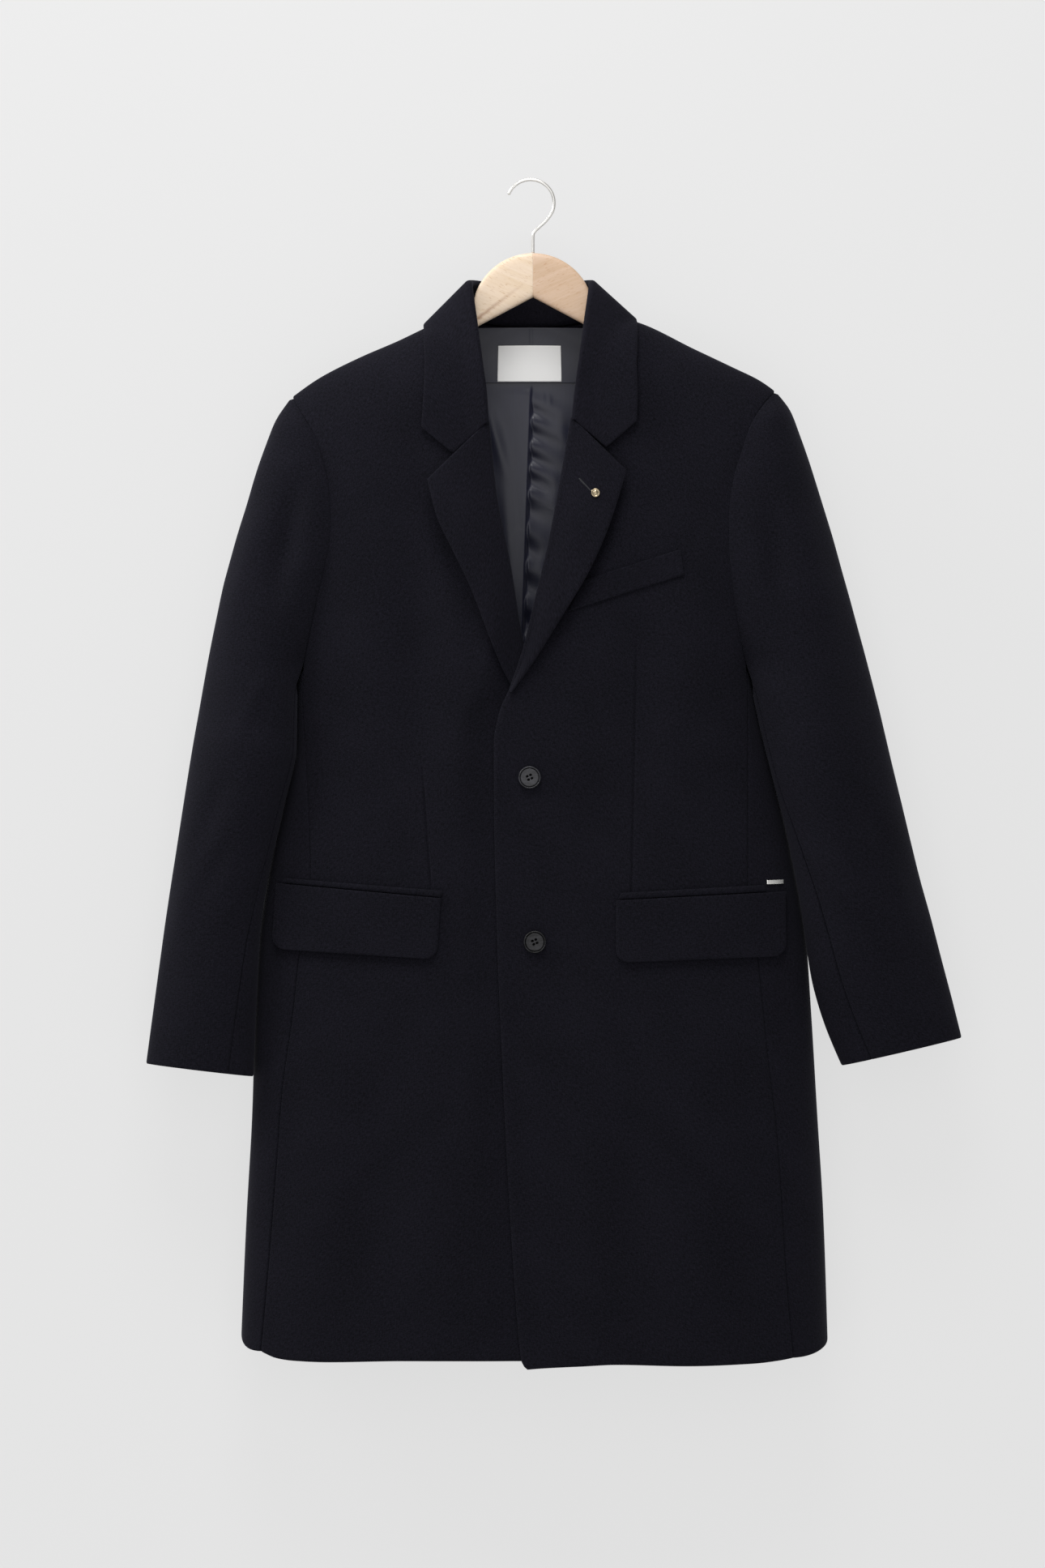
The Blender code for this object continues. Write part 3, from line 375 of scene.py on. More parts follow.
# Closed shell between an outer and an inner grid, rimmed along its four edges.
def addShell(name, node, outer, inner, finish):
    rows, columns = outer.shape[:2]
    count = rows * columns
    index = np.arange(count).reshape(rows, columns)
    around = np.concatenate([index[0, :-1], index[:-1, -1], index[-1, :0:-1], index[:0:-1, 0]])
    following = np.roll(around, -1)
    rim = np.stack([following, around, around + count, following + count], axis=1)
    quads = np.concatenate([quadsOf(rows, columns), quadsOf(rows, columns, count)[:, ::-1], rim])
    left, _, top, _ = edgeDistances(outer)
    return addPiece(name, node, np.stack([outer, inner]), quads, np.stack([np.stack([left, top], axis=-1)] * 2), finish)


# Width and length of a piece of cloth's grid laid flat, with its turned-in edges and at least the narrowest cut; they
# are worked out and not kept.
def declare(grid):
    left, _, top, _ = edgeDistances(grid)
    width, length = left[:, -1].max() / metre, top[-1].max() / metre
    turned = 2 * cloth["turned"] / metre
    width, length = (max(size + turned, cloth["narrowest"] / metre) for size in (width, length))


# A wall about a middle layer: surface gives the layer moved out, and half the thickness, rolled off at the edges, lies
# on each side. A thickness below 0 puts the side that shows inside the coat. When what the cloth rests on is given, its
# flat size is worked out; what it rests on is not kept.
def addWall(node, surface, middle, thick, rounds, finish, restsOn=None, sewn=False, name=None):
    grid = surface(middle)
    if sewn:
        middle = middle - sunk(grid, rounds)
    half = np.asarray(thick) / 2 * rolled(grid, rounds)
    outer = surface(middle + half)
    piece = addShell(name or f"{node}_cloth", node, outer, surface(middle - half), finish)
    if restsOn:
        declare(grid)
    return outer


# The same for wool that lies under a grid of its outer face.
def addUnder(node, grid, normal, rounds):
    half = cloth["wool"] / 2 * rolled(grid, rounds)[..., None]
    middle = grid - normal * cloth["wool"] / 2
    piece = addShell(f"{node}_cloth", node, middle + normal * half, middle - normal * half, wool)
    declare(middle)


# Materials

# sRGB hex to linear colour.
def linear(code):
    given = np.array([int(code[k:k + 2], 16) for k in (1, 3, 5)]) / 255
    return (*np.where(given <= 0.04045, given / 12.92, ((given + 0.055) / 1.055) ** 2.4).tolist(), 1.0)


# Sets a node's inputs: a socket is linked, anything else is a fixed value.
def fill(node, given):
    for name, value in given.items():
        if isinstance(value, bpy.types.NodeSocket):
            node.id_data.links.new(value, node.inputs[name])
        else:
            node.inputs[name].default_value = value


# Adds a node with its settings, values and links, and hands on one of its outputs.
def addNode(material, kind, given=None, give=0, **settings):
    node = material.node_tree.nodes.new(kind)
    for name, value in settings.items():
        setattr(node, name, value)
    fill(node, given or {})
    return node.outputs[give]


def newMaterial(name, given):
    made = bpy.data.materials.new(name)
    made.use_nodes = True
    shader = made.node_tree.nodes["Principled BSDF"]
    fill(shader, given)
    return made, shader


# Milled melton: felted, so that no weave shows; the eye gets a matt dark cloth mottled by short flecks of nap
# along both thread directions, with a few paler hairs.
melton = {"dark": "#06060a", "light": "#17161e", "hair": "#45454f", "sheen": "#a3a3b8", "fleck": 1.5, "mottle": 60.0,
          "relief": 0.4}


def makeMelton():
    made, shader = newMaterial("milled_melton_wool", {
        "Roughness": 0.95, "IOR": 1.45, "Sheen Weight": 0.05, "Sheen Roughness": 0.5, "Specular IOR Level": 0.1,
        "Sheen Tint": linear(melton["sheen"])})
    place = addNode(made, "ShaderNodeTexCoord", give="UV")
    threads = []
    for stretch in ((0.45, 1.3, 1.0), (1.3, 0.45, 1.0)):    # weft, then warp
        turned = addNode(made, "ShaderNodeMapping", {"Scale": stretch, "Vector": place})
        # real fibres are finer than a pixel, so the flecks are drawn 1.5 mm apart
        threads.append(addNode(made, "ShaderNodeTexNoise", {
            "Scale": metre / melton["fleck"], "Detail": 3.0, "Roughness": 0.65, "Vector": turned}))
    nap = addNode(made, "ShaderNodeMix", {"Factor": 0.5, "A": threads[0], "B": threads[1]})
    mottle = addNode(made, "ShaderNodeTexNoise", {"Scale": metre / melton["mottle"], "Detail": 3.0, "Vector": place})
    tone = addNode(made, "ShaderNodeMix", {"Factor": 0.12, "A": nap, "B": mottle})
    share = addNode(made, "ShaderNodeMapRange", {"From Min": 0.38, "From Max": 0.62, "Value": tone})
    hairs = addNode(made, "ShaderNodeMapRange", {"From Min": 0.66, "From Max": 0.74, "To Max": 0.5, "Value": nap})
    colour = addNode(made, "ShaderNodeMix", {0: share, 6: linear(melton["dark"]), 7: linear(melton["light"])}, 2,
                     data_type="RGBA")
    colour = addNode(made, "ShaderNodeMix", {0: hairs, 6: colour, 7: linear(melton["hair"])}, 2, data_type="RGBA")
    bump = addNode(made, "ShaderNodeBump", {"Strength": 0.45, "Distance": melton["relief"] / metre, "Height": nap})
    fill(shader, {"Base Color": colour, "Normal": bump})
    return made


# Satin lining: smooth warp floats, so the eye gets a slate sheen that runs along the folds.
def makeSatin(dark, light):
    made, shader = newMaterial("satin_lining", {
        "Roughness": 0.36, "IOR": 1.5, "Sheen Weight": 0.1, "Specular IOR Level": 0.5, "Anisotropic": 0.4})
    place = addNode(made, "ShaderNodeTexCoord", give="UV")
    # threads are 0.2 mm, drawn at 1.5 mm so that they show
    warp = addNode(made, "ShaderNodeMapping", {"Scale": (1.0, 0.06, 1.0), "Vector": place})
    floats = addNode(made, "ShaderNodeTexNoise", {"Scale": metre / 1.5, "Detail": 2.0, "Vector": warp})
    colour = addNode(made, "ShaderNodeMix", {0: floats, 6: linear(dark), 7: linear(light)}, 2, data_type="RGBA")
    bump = addNode(made, "ShaderNodeBump", {"Strength": 0.12, "Distance": 0.1 / metre, "Height": floats})
    fill(shader, {"Base Color": colour, "Normal": bump})
    return made


# Woven cotton tape or thread: plain weave, so the eye gets an even matt grain.
def makeCotton(name, dark, light):
    made, shader = newMaterial(name, {"Roughness": 0.85, "IOR": 1.47, "Sheen Weight": 0.15})
    place = addNode(made, "ShaderNodeTexCoord", give="UV")
    # threads are 0.3 mm, drawn at 0.7 mm; a wave node's bands lie a third of a unit apart at scale 1
    across, down = (addNode(made, "ShaderNodeTexWave", {
        "Scale": 0.314 * metre / 0.7, "Distortion": 0.6, "Vector": place}, "Fac", bands_direction=way) for way in "XY")
    weave = addNode(made, "ShaderNodeMath", {0: across, 1: down}, operation="MULTIPLY")
    colour = addNode(made, "ShaderNodeMix", {0: weave, 6: linear(dark), 7: linear(light)}, 2, data_type="RGBA")
    bump = addNode(made, "ShaderNodeBump", {"Strength": 0.2, "Distance": 0.15 / metre, "Height": weave})
    fill(shader, {"Base Color": colour, "Normal": bump})
    return made


# Polished dark horn: faint paler streaks under a satin shine. The wells and the groove are dull, and their colour is
# painted near-black as painted shade.
# The map's second direction is height above the button's foot.
def makeHorn(name, dark, light, shine):
    made, shader = newMaterial(name, {"IOR": 1.5, "Specular IOR Level": shine})
    place = addNode(made, "ShaderNodeTexCoord", give="Object")
    streak = addNode(made, "ShaderNodeMapping", {"Scale": (1.0, 1.0, 3.0), "Vector": place})
    cloud = addNode(made, "ShaderNodeTexNoise", {
        "Scale": metre / 12.0, "Detail": 4.0, "Distortion": 1.2, "Vector": streak})
    cloud = addNode(made, "ShaderNodeMapRange", {"From Min": 0.36, "From Max": 0.64, "Value": cloud})
    colour = addNode(made, "ShaderNodeMix", {0: cloud, 6: linear(dark), 7: linear(light)}, 2, data_type="RGBA")
    foot = addNode(made, "ShaderNodeSeparateXYZ", {0: addNode(made, "ShaderNodeTexCoord", give="UV")}, "Y")
    polishedUnshaded = addNode(made, "ShaderNodeMapRange", {"From Min": 2.5 / metre, "From Max": 3.0 / metre, "Value": foot})
    # painted shade: below the polished face, in the wells and the groove, the colour is painted near-black; the same
    # share also makes them rougher
    wellShade = addNode(made, "ShaderNodeMix", {0: polishedUnshaded, 6: linear("#020203"), 7: colour}, 2, data_type="RGBA")
    rough = addNode(made, "ShaderNodeMapRange", {"To Min": 1.0, "To Max": 0.36, "Value": polishedUnshaded})
    fill(shader, {"Base Color": wellShade, "Roughness": rough})
    return made


# Steamed beech, planed and lacquered: pale, with long soft grain and short dark flecks along the arm, and where given
# one brown streak: its tilt, its place along its normal, its half-width, and x where it starts and ends.
def makeBeech(name, slope, light, dark, streak=None):
    made, shader = newMaterial(name, {"IOR": 1.5, "Coat Weight": 0.12, "Coat Roughness": 0.35})
    place = addNode(made, "ShaderNodeTexCoord", give="Object")
    turned = addNode(made, "ShaderNodeMapping", {"Rotation": (0.0, slope, 0.0), "Vector": place})
    grainPlace = addNode(made, "ShaderNodeMapping", {"Scale": (0.05, 1.0, 1.0), "Vector": turned})
    grain = addNode(made, "ShaderNodeTexNoise", {
        "Scale": metre / 6.0, "Detail": 6.0, "Roughness": 0.65, "Distortion": 0.4, "Vector": grainPlace})
    fleckPlace = addNode(made, "ShaderNodeMapping", {"Scale": (0.16, 1.0, 1.0), "Vector": turned})
    fleck = addNode(made, "ShaderNodeTexNoise", {"Scale": metre / 0.9, "Detail": 1.0, "Vector": fleckPlace})
    fleckShare = addNode(made, "ShaderNodeMapRange", {
        "From Min": 0.62, "From Max": 0.74, "To Max": 0.55, "Value": fleck})
    grainShare = addNode(made, "ShaderNodeMapRange", {"From Min": 0.3, "From Max": 0.72, "Value": grain})
    colour = addNode(made, "ShaderNodeMix", {0: grainShare, 6: linear(light), 7: linear(dark)}, 2, data_type="RGBA")
    colour = addNode(made, "ShaderNodeMix", {0: fleckShare, 6: colour, 7: linear("#a87a4c")}, 2, data_type="RGBA")
    if streak:
        tilt, (off, half, first, last) = streak[0], np.array(streak[1:]) / metre
        height = addNode(made, "ShaderNodeVectorMath", {0: place, 1: (-np.sin(tilt), 0.0, np.cos(tilt))}, "Value",
                         operation="DOT_PRODUCT")
        height = addNode(made, "ShaderNodeMath", {0: grain, 1: 2 * half, 2: height}, operation="MULTIPLY_ADD")
        away = addNode(made, "ShaderNodeMath", {0: height, 1: off + half}, operation="SUBTRACT")
        away = addNode(made, "ShaderNodeMath", {0: away}, operation="ABSOLUTE")
        band = addNode(made, "ShaderNodeMapRange", {"From Max": half, "To Min": 0.7, "To Max": 0.0, "Value": away})
        x = addNode(made, "ShaderNodeSeparateXYZ", {0: place}, "X")
        fade = addNode(made, "ShaderNodeMapRange", {
            "From Min": first, "From Max": last, "To Min": 1.0, "To Max": 0.0, "Value": x})
        share = addNode(made, "ShaderNodeMath", {0: band, 1: fade}, operation="MULTIPLY")
        colour = addNode(made, "ShaderNodeMix", {0: share, 6: colour, 7: linear("#8a5a3a")}, 2, data_type="RGBA")
    rough = addNode(made, "ShaderNodeMapRange", {"To Min": 0.42, "To Max": 0.55, "Value": grain})
    bump = addNode(made, "ShaderNodeBump", {"Strength": 0.08, "Distance": 0.1 / metre, "Height": fleck})
    fill(shader, {"Base Color": colour, "Roughness": rough, "Normal": bump})
    return made


# Drawn or brushed metal: fine lines along the length break up the shine.
def makeMetal(name, code, lines, roughest):
    made, shader = newMaterial(name, {"Metallic": 1.0, "Base Color": linear(code)})
    place = addNode(made, "ShaderNodeTexCoord", give="UV")
    drawn = addNode(made, "ShaderNodeMapping", {"Scale": lines, "Vector": place})
    grit = addNode(made, "ShaderNodeTexNoise", {"Scale": metre / 0.4, "Detail": 2.0, "Vector": drawn})
    rough = addNode(made, "ShaderNodeMapRange", {"To Min": 0.7 * roughest, "To Max": roughest, "Value": grit})
    fill(shader, {"Roughness": rough})
    return made


# each finish is a material and its slot
wool = makeMelton(), "wool"
satin = makeSatin("#151624", "#202133"), "satin"
cotton = makeCotton("woven_cotton_label", "#f8f7f5", "#ffffff"), "cotton"
thread = makeCotton("cotton_thread", "#131417", "#1f2025"), "cotton"
horns = {"button_top": (makeHorn("grey_horn", "#17171a", "#2e2e33", 0.4), "horn"),
         "button_low": (makeHorn("dark_horn", "#0a0a0b", "#222225", 0.28), "horn")}
beeches = {"left": (makeBeech("steamed_beech_left", 0.42, "#c9ae97", "#b99a7b"), "beech"),
           "right": (makeBeech("steamed_beech_right", -0.42, "#dcc9b5", "#d0b89a", (0.646, -75.2, 2.6, -50.0, -4.0)),
                     "beech")}
steel = makeMetal("drawn_steel_wire", "#e2e0dc", (1.0, 0.04, 1.0), 0.38), "steel"
nickel = makeMetal("brushed_nickel", "#f4f3f0", (0.04, 1.0, 1.0), 0.6), "steel"
brass = makeMetal("polished_brass", "#a89a80", (1.0, 1.0, 1.0), 0.22), "steel"
print("materials made")

# The body's panels

fronts = {
    "left": {
        "edge": (
            (78, -132), (69, -152), (58, -188), (47, -222), (38, -246), (31, -280), (17, -355), (4, -409),
            (-6, -451), (-18, -489), (-29, -515), (-34, -545), (-34, -590), (-31, -739), (-27, -841),
            (-22, -950), (-17, -1036), (-13.3, -1090), (-9.6, -1130), (-8, -1138), (-3, -1143),
        ),
        "armhole": (
            (236, -203), (222, -218), (211.5, -235), (202, -262), (194, -289), (190, -324), (190, -350),
            (193, -386), (197, -415), (203, -448), (208.5, -471),
        ),
        "seam": (
            (208.5, -471), (209.5, -498), (209, -673), (219, -752), (228, -841), (237, -918), (246, -1054),
            (253, -1133),
        ),
        "backArmhole": (
            (236, -203), (221, -240), (211, -285), (205, -335), (201, -385), (197, -430), (194, -471),
        ),
        "hem": (
            (-3, -1143), (10.7, -1141.9), (50, -1140), (82, -1138.5), (152, -1140), (214, -1138), (239, -1135.4),
            (253, -1133),
        ),
        "dart": ((102, -432), (100, -527), (97, -683)),
        "rollEnd": -492.0,   # height where the lapel's roll ends
    },
    "right": {
        "edge": (
            (-78, -132), (-69, -152), (-59, -188), (-49, -222), (-41, -246), (-34, -300), (-20, -372),
            (-7, -449), (10, -490), (27, -520), (33, -560), (33, -740), (30, -950), (26, -1133),
        ),
        "armhole": (
            (-230, -208.5), (-217, -229.5), (-206.8, -247.2), (-198.6, -271.8), (-193.6, -296.4), (-192.2, -325),
            (-193.2, -350), (-198, -374.3), (-204.7, -403), (-212, -436), (-219.5, -471),
        ),
        "seam": (
            (-219.5, -471), (-220, -500), (-217, -551), (-212, -666), (-223, -746), (-229, -802), (-240, -880),
            (-246, -957), (-252, -1035), (-260, -1127),
        ),
        "backArmhole": (
            (-230, -208.5), (-216, -245), (-209, -285), (-206, -335), (-205, -385), (-205, -430), (-206, -471),
        ),
        "hem": (
            (26, -1133), (-9, -1135), (-121, -1135), (-199, -1136.5), (-228, -1135.5), (-244, -1133.5),
            (-253, -1130.4), (-260, -1127),
        ),
        "dart": ((-105, -554), (-96, -679)),
        "rollEnd": -466.0,
    },
}
# A free front edge is faced, so it is thicker and curls up a little; the hem is turned up. Inside the lapel's roll the
# edge stays back, from a little above the roll's end.
frontEdge = {"width": 12.0, "faced": 1.6, "hemmed": 1.0, "curl": 0.3, "round": 4.5, "back": 2.4, "backOver": 30.0}
# A dart's share across the front, its groove, the length over which its upper end fades and how far it runs on below.
# Columns are pulled on to it over a share of the width, less and less above and below.
dart = {"share": 0.55, "width": 1.1, "depth": -1.5, "fade": 40.0, "past": 6.0, "pull": 0.12, "above": 150.0,
        "beneath": 200.0}
armholeSteps, seamSteps, shoulderSteps = 200, 300, 60   # points on these lines


# How far the under front lies behind the top front: a smooth step across the top front's edge.
def tuck(x, z):
    ramp, past = body["tuckRamp"]
    inside = x - xAt(fronts["left"]["edge"], z)
    return np.interp(-z, -np.array(body["tuckHeights"]), body["tuck"]) * eased((inside + ramp + past) / ramp)


# Depth of a sewn dart: a narrow bell across its line, fading at its upper end.
def dartDepth(x, z, line):
    inside = np.clip((line[0][1] - z) / dart["fade"], 0, 1) * (z > line[-1][1] - dart["past"])
    return dart["depth"] * bell((x - xAt(line, z)) / dart["width"]) * inside


# Columns near the dart's share pulled on to its line by a bell curve across.
def ontoDart(area, across, line):
    x, z = area[:, np.argmin(np.abs(across - dart["share"]))].T
    fade = (np.clip(1 - (z - line[0][1]) / dart["above"], 0, 1)
            * np.clip(1 - (line[-1][1] - z) / dart["beneath"], 0, 1))
    pull = (xAt(line, z) - x) * fade
    area[..., 0] += pull[:, None] * bell((across - dart["share"]) / dart["pull"])


# An armhole's line run on under the sleeve by a half round.
def lapped(line, out):
    points = along(line, armholeSteps)
    points[:, 0] += out * np.sqrt(1 - np.linspace(-1, 1, armholeSteps) ** 2)
    return points


def buildFronts():
    for name, sign in sides:
        given = fronts[name]
        armhole = lapped(given["armhole"], sign * body["frontLap"])
        outerEdge = np.concatenate([armhole, along(given["seam"], seamSteps)[1:]])
        down = spaced(lengths(outerEdge)[-1])
        across = besideSeam(spans["front"], dart["share"])
        edge = along(given["edge"], down)
        back = np.clip((edge[:, 1] - given["rollEnd"]) / frontEdge["backOver"], 0, 1)
        edge[:, 0] += sign * frontEdge["back"] * eased(back)
        x = np.linspace(given["edge"][0][0], given["armhole"][0][0], shoulderSteps)
        shoulder = onLine(np.stack([x, ridgeLine(x)], axis=1), across)
        area = patch(edge, onLine(outerEdge, down), shoulder, along(given["hem"], across), down, across)
        ontoDart(area, across, given["dart"])
        x, z = area[..., 0], area[..., 1]
        faced = bell((x - edge[:, None, 0]) / frontEdge["width"]) * (1 - back[:, None])
        hemmed = bell((z - z[-1:]) / frontEdge["width"])
        thick = cloth["wool"] + frontEdge["faced"] * faced + frontEdge["hemmed"] * hemmed
        middle = -cloth["wool"] / 2 + dartDepth(x, z, given["dart"]) + frontEdge["curl"] * faced
        if name == "right":
            middle = middle - tuck(x, z)
        addWall(f"{name}_front", over(area, "front"), middle, thick, (frontEdge["round"],) + panelRounds[1:], wool,
                [f"{name}_hanger_arm"], sewn=True)


# Height on the back's seam that belongs to a share of the way down from the armpit to the hem.
def backLevel(low):
    return body["armpit"] + low * (body["backHem"] - body["armpit"])


# x of the seam between side and back.
def backSeam(z, sign):
    share = np.clip((body["armpit"] - z) / (body["armpit"] - body["backHem"]), 0, 1)
    high, low = body["backSeamIn"]
    return sign * (halfWidth(sign * np.ones_like(z), z) - (high + share * (low - high)))


# Points round the side at one height, evenly spaced along the superellipse from seam to seam.
def sideLine(z, xFront, xBack, sign, shares):
    width, power = float(halfWidth(sign, z)), body["square"]
    first, last = (np.arccos(np.clip(abs(x) / width, 0, 1) ** (power / 2)) for x in (xFront, xBack))
    angle = np.linspace(first, -last, seamSteps)
    x = sign * width * np.abs(np.cos(angle)) ** (2 / power)
    deep = np.where(angle > 0, -ring("front", z), ring("back", z)) - ring("widest", z)
    y = deep * np.abs(np.sin(angle)) ** (2 / power)
    return onLine(np.stack([x, y], axis=1), shares).T


# The side panel's grid: x, z and which points lie in front. Rows are scooped under the arm and lifted at the hem by a
# squared sine.
def sideGrid(name, sign, down, shares, gap):
    seam = along(fronts[name]["seam"], down)
    bow, fade = 4 * shares * (1 - shares), body["scoopFade"]
    lift = body["hemRise"][name] * np.sin(np.pi * shares ** body["hemPeak"]) ** 2
    x, z = np.empty((2, len(seam), len(shares)))
    front = np.empty(x.shape, bool)
    for row, (seamX, height) in enumerate(seam):
        low = (body["armpit"] - height) / (body["armpit"] - seam[-1, 1])
        level = backLevel(low)
        z[row] = height + shares * (level - height) - bow * body["scoop"] * (1 - low) ** fade + lift * low ** fade
        xBack = float(backSeam(np.asarray(level), sign))
        x[row], y = sideLine(height, seamX + sign * gap, xBack + sign * gap, sign, shares)
        x[row] *= halfWidth(x[row], z[row]) / halfWidth(x[row], height)
        front[row] = y < 0
    return x, z, front


# The draped surface of the side: front half or back half, as each point says.
def onSide(x, z, front, out):
    return np.where(front[..., None], draped(x, z, "front", out), draped(x, z, "back", out))


def buildSides():
    long, wide = spans["side"]
    for name, sign in sides:
        x, z, front = sideGrid(name, sign, spaced(long), spaced(wide, 3.0), cloth["sewn"])
        addWall(f"{name}_side", lambda out: onSide(x, z, front, out), -cloth["wool"] / 2, cloth["wool"], panelRounds,
                wool, [f"{name}_front"], sewn=True)


centreSeam = {"width": 1.1, "depth": -1.0}


def buildBack():
    edges = []
    for name, sign in sides[::-1]:
        height = along(fronts[name]["seam"], seamSteps)[:, 1]
        level = backLevel((body["armpit"] - height) / (body["armpit"] - height[-1]))
        armhole = lapped(fronts[name]["backArmhole"], sign * body["backLap"])
        edges.append(np.concatenate([armhole, np.stack([backSeam(level, sign), level], axis=1)[1:]]))
    right, left = edges
    down = spaced(lengths(left)[-1])
    across = besideSeam(spans["back"], 0.5)
    neckHalf, neckDrop = body["neckHalf"], body["neckDrop"]
    stops = (fronts["right"]["armhole"][0][0], -neckHalf, neckHalf, fronts["left"]["armhole"][0][0])
    x = np.unique(np.concatenate([np.linspace(a, b, shoulderSteps) for a, b in zip(stops, stops[1:])]))
    neck = neckDrop + (ridgeLine(neckHalf) - neckDrop) * (np.abs(x) / neckHalf) ** 2
    top = np.stack([x, np.where(np.abs(x) < neckHalf, neck, ridgeLine(x))], axis=1)
    hem = np.array([(right[-1, 0], body["backHem"]), (left[-1, 0], body["backHem"])])
    area = patch(onLine(right, down), onLine(left, down), onLine(top, across), onLine(hem, across), down, across)
    groove = centreSeam["depth"] * bell((across - 0.5) * spans["back"] / centreSeam["width"])[None]
    addWall("back", over(area, "back"), groove - cloth["wool"] / 2, cloth["wool"], panelRounds, wool,
            ["left_hanger_arm", "right_hanger_arm"], sewn=True)


buildFronts()
buildSides()
buildBack()
print("body panels made")

# Sleeves

sleeves = {
    "left": {
        # outer edge x and z, front depth, back depth, for each point of the armhole
        "cap": (
            (237.4, -203.8, 6, 6), (250.6, -221.5, 24, 24), (259.5, -244, 32, 32), (268.7, -270, 38, 38),
            (276, -293, 42, 42), (285, -322, 45, 44), (292, -345, 46, 45), (300.6, -376, 47, 46),
            (308, -402, 48, 46), (316.4, -433, 48, 46), (323, -457, 48, 46),
        ),
        # inner x and z, outer x and z, front and back depth, y where widest, shares of the two seams
        "rings": (
            (214.8, -499, 330, -484, 45, 49, -14, 0.025, 0.12), (220.8, -527, 336.6, -510, 45, 48, -16, 0.03, 0.15),
            (233, -576, 347.6, -557, 45, 43, -17, 0.03, 0.19), (245, -623, 358.5, -602, 43, 41, -15, 0.06, 0.23),
            (258.7, -692, 375.3, -671, 40, 39, -15, 0.14, 0.28), (264.5, -731, 386, -709, 38, 37, -14, 0.18, 0.30),
            (271, -771, 396, -748, 35, 35, -12, 0.21, 0.32), (284, -815, 407, -790, 33, 33, -9, 0.23, 0.34),
            (300, -853, 416, -826, 31, 31, -6, 0.24, 0.35),
        ),
        # creases: millimetres round from the outer edge (front is negative) and height, at both ends, width, rise
        "creases": (
            (-50, -270, -46, -470, 14, 2.2), (-30, -330, -48, -640, 22, -2.4), (-70, -280, -98, -450, 14, -5.0),
            (-104, -470, -74, -560, 8, 1.8), (-78, -560, -40, -680, 12, -2.4), (-60, -600, -30, -760, 14, 2.0),
            (-96, -590, -66, -640, 7, -1.4), (-20, -640, -44, -820, 18, -1.8), (40, -330, 60, -600, 20, -2.2),
            (70, -520, 40, -640, 12, -2.4), (62, -600, 30, -720, 12, 2.0), (20, -660, 44, -820, 16, -1.6),
        ),
    },
    "right": {
        "cap": (
            (-231.5, -209.4, 6, 6), (-246, -231, 24, 24), (-254.5, -252, 32, 32), (-264.8, -281, 39, 39),
            (-273.9, -312, 43, 43), (-283, -341, 46, 45), (-290.3, -367, 47, 46), (-296.6, -390, 48, 46),
            (-302.2, -416, 48, 46), (-307.4, -441, 48, 46), (-311.7, -463, 48, 46),
        ),
        "rings": (
            (-224.6, -497, -316.2, -488, 45, 49, -14, 0.025, 0.10),
            (-224.9, -523, -320.7, -514, 45, 48, -16, 0.03, 0.13),
            (-225.5, -550, -325.5, -541, 47, 44, -17, 0.03, 0.16), (-234, -589, -331.8, -580, 45, 43, -17, 0.04, 0.20),
            (-250, -660, -342.6, -650, 42, 40, -15, 0.06, 0.26), (-257, -697, -348.3, -686, 40, 39, -15, 0.08, 0.28),
            (-260.5, -730, -353.4, -719, 38, 37, -15, 0.12, 0.30),
            (-264.5, -806, -363.4, -794, 34, 34, -15, 0.19, 0.33), (-267, -863, -371, -851, 31, 31, -14, 0.23, 0.35),
        ),
        "creases": (
            (-44, -262, -40, -470, 14, 2.2), (-26, -340, -40, -650, 22, -2.2), (-64, -262, -90, -440, 15, -8.0),
            (-96, -450, -64, -560, 9, 1.8), (-76, -540, -34, -690, 12, -2.2), (-56, -600, -22, -780, 14, 1.9),
            (-84, -620, -56, -700, 8, -1.6), (-16, -660, -40, -840, 18, -1.6), (36, -340, 58, -600, 20, -2.0),
            (66, -520, 36, -650, 12, -2.3), (58, -610, 26, -740, 12, 1.9), (16, -680, 40, -850, 16, -1.5),
        ),
    },
    "tip": (0.01, 0.1),     # shares of the armhole over which the cap grows to a full round
    "capSpan": (0.006, 0.985),  # shares of the armhole where the cap's rows start and end
    "capRows": (25, 1.6),   # their number, and the power that crowds them at the tip
    "ringRows": 17,         # key rows below the cap
    "fuller": 1.06,         # least depth of the cap, in depths of the armhole's seam
    "step": (4.5, 4.0),     # spacing of points down and round
    "creaseFade": 30.0,     # length below the armhole over which creases begin
    "head": (2.0, 0.3),     # how far the under sleeve's head lies inside the side's seams and off the body
}


# Half of each elliptical section, outer edge at angle 0 and inner edge at pi; the inner edge leans forward.
def sectionRows(outer, inner, depth, angles, sign, centre):
    reach = (outer - inner) / 2
    flat = outer[:, None] - reach[:, None] * (1 - np.cos(angles))[..., None]
    lean = centre[:, None] * (1 - np.cos(angles)) / 2
    return np.stack([flat[..., 0], lean + sign * depth[:, None] * np.sin(angles), flat[..., 1]], axis=-1)


# Half of the cap's rows, from the armhole over to the outer edge: a parabola at the shoulder tip that becomes an
# ellipse lower down.
def capHalf(outer, flats, depth, fullness, shares, face):
    sign = -1.0 if face == "front" else 1.0
    moved = flats + cloth["sewn"] * unit(outer - flats)
    seam = draped(moved[:, 0], moved[:, 1], face)
    seamDepth = np.abs(seam[:, 1])
    reach = outer - seam[:, [0, 2]]
    w = 1 - shares[None]
    flat = outer[:, None] - reach[:, None] * (w ** 2)[..., None]
    low = np.stack([flat[..., 0], sign * seamDepth[:, None] * w, flat[..., 1]], axis=-1)
    depth = np.maximum(depth, sleeves["fuller"] * seamDepth)
    start = np.pi - np.arcsin(seamDepth / depth)
    inner = outer - reach * (2 / (1 - np.cos(start)))[:, None]
    full = sectionRows(outer, inner, depth, start[:, None] * w, sign, np.zeros(len(outer)))
    return low + (full - low) * fullness[:, None, None]


# Front and back halves that meet at their last column.
def joined(ahead, behind):
    return np.concatenate([ahead, behind[:, -2::-1]], axis=1)


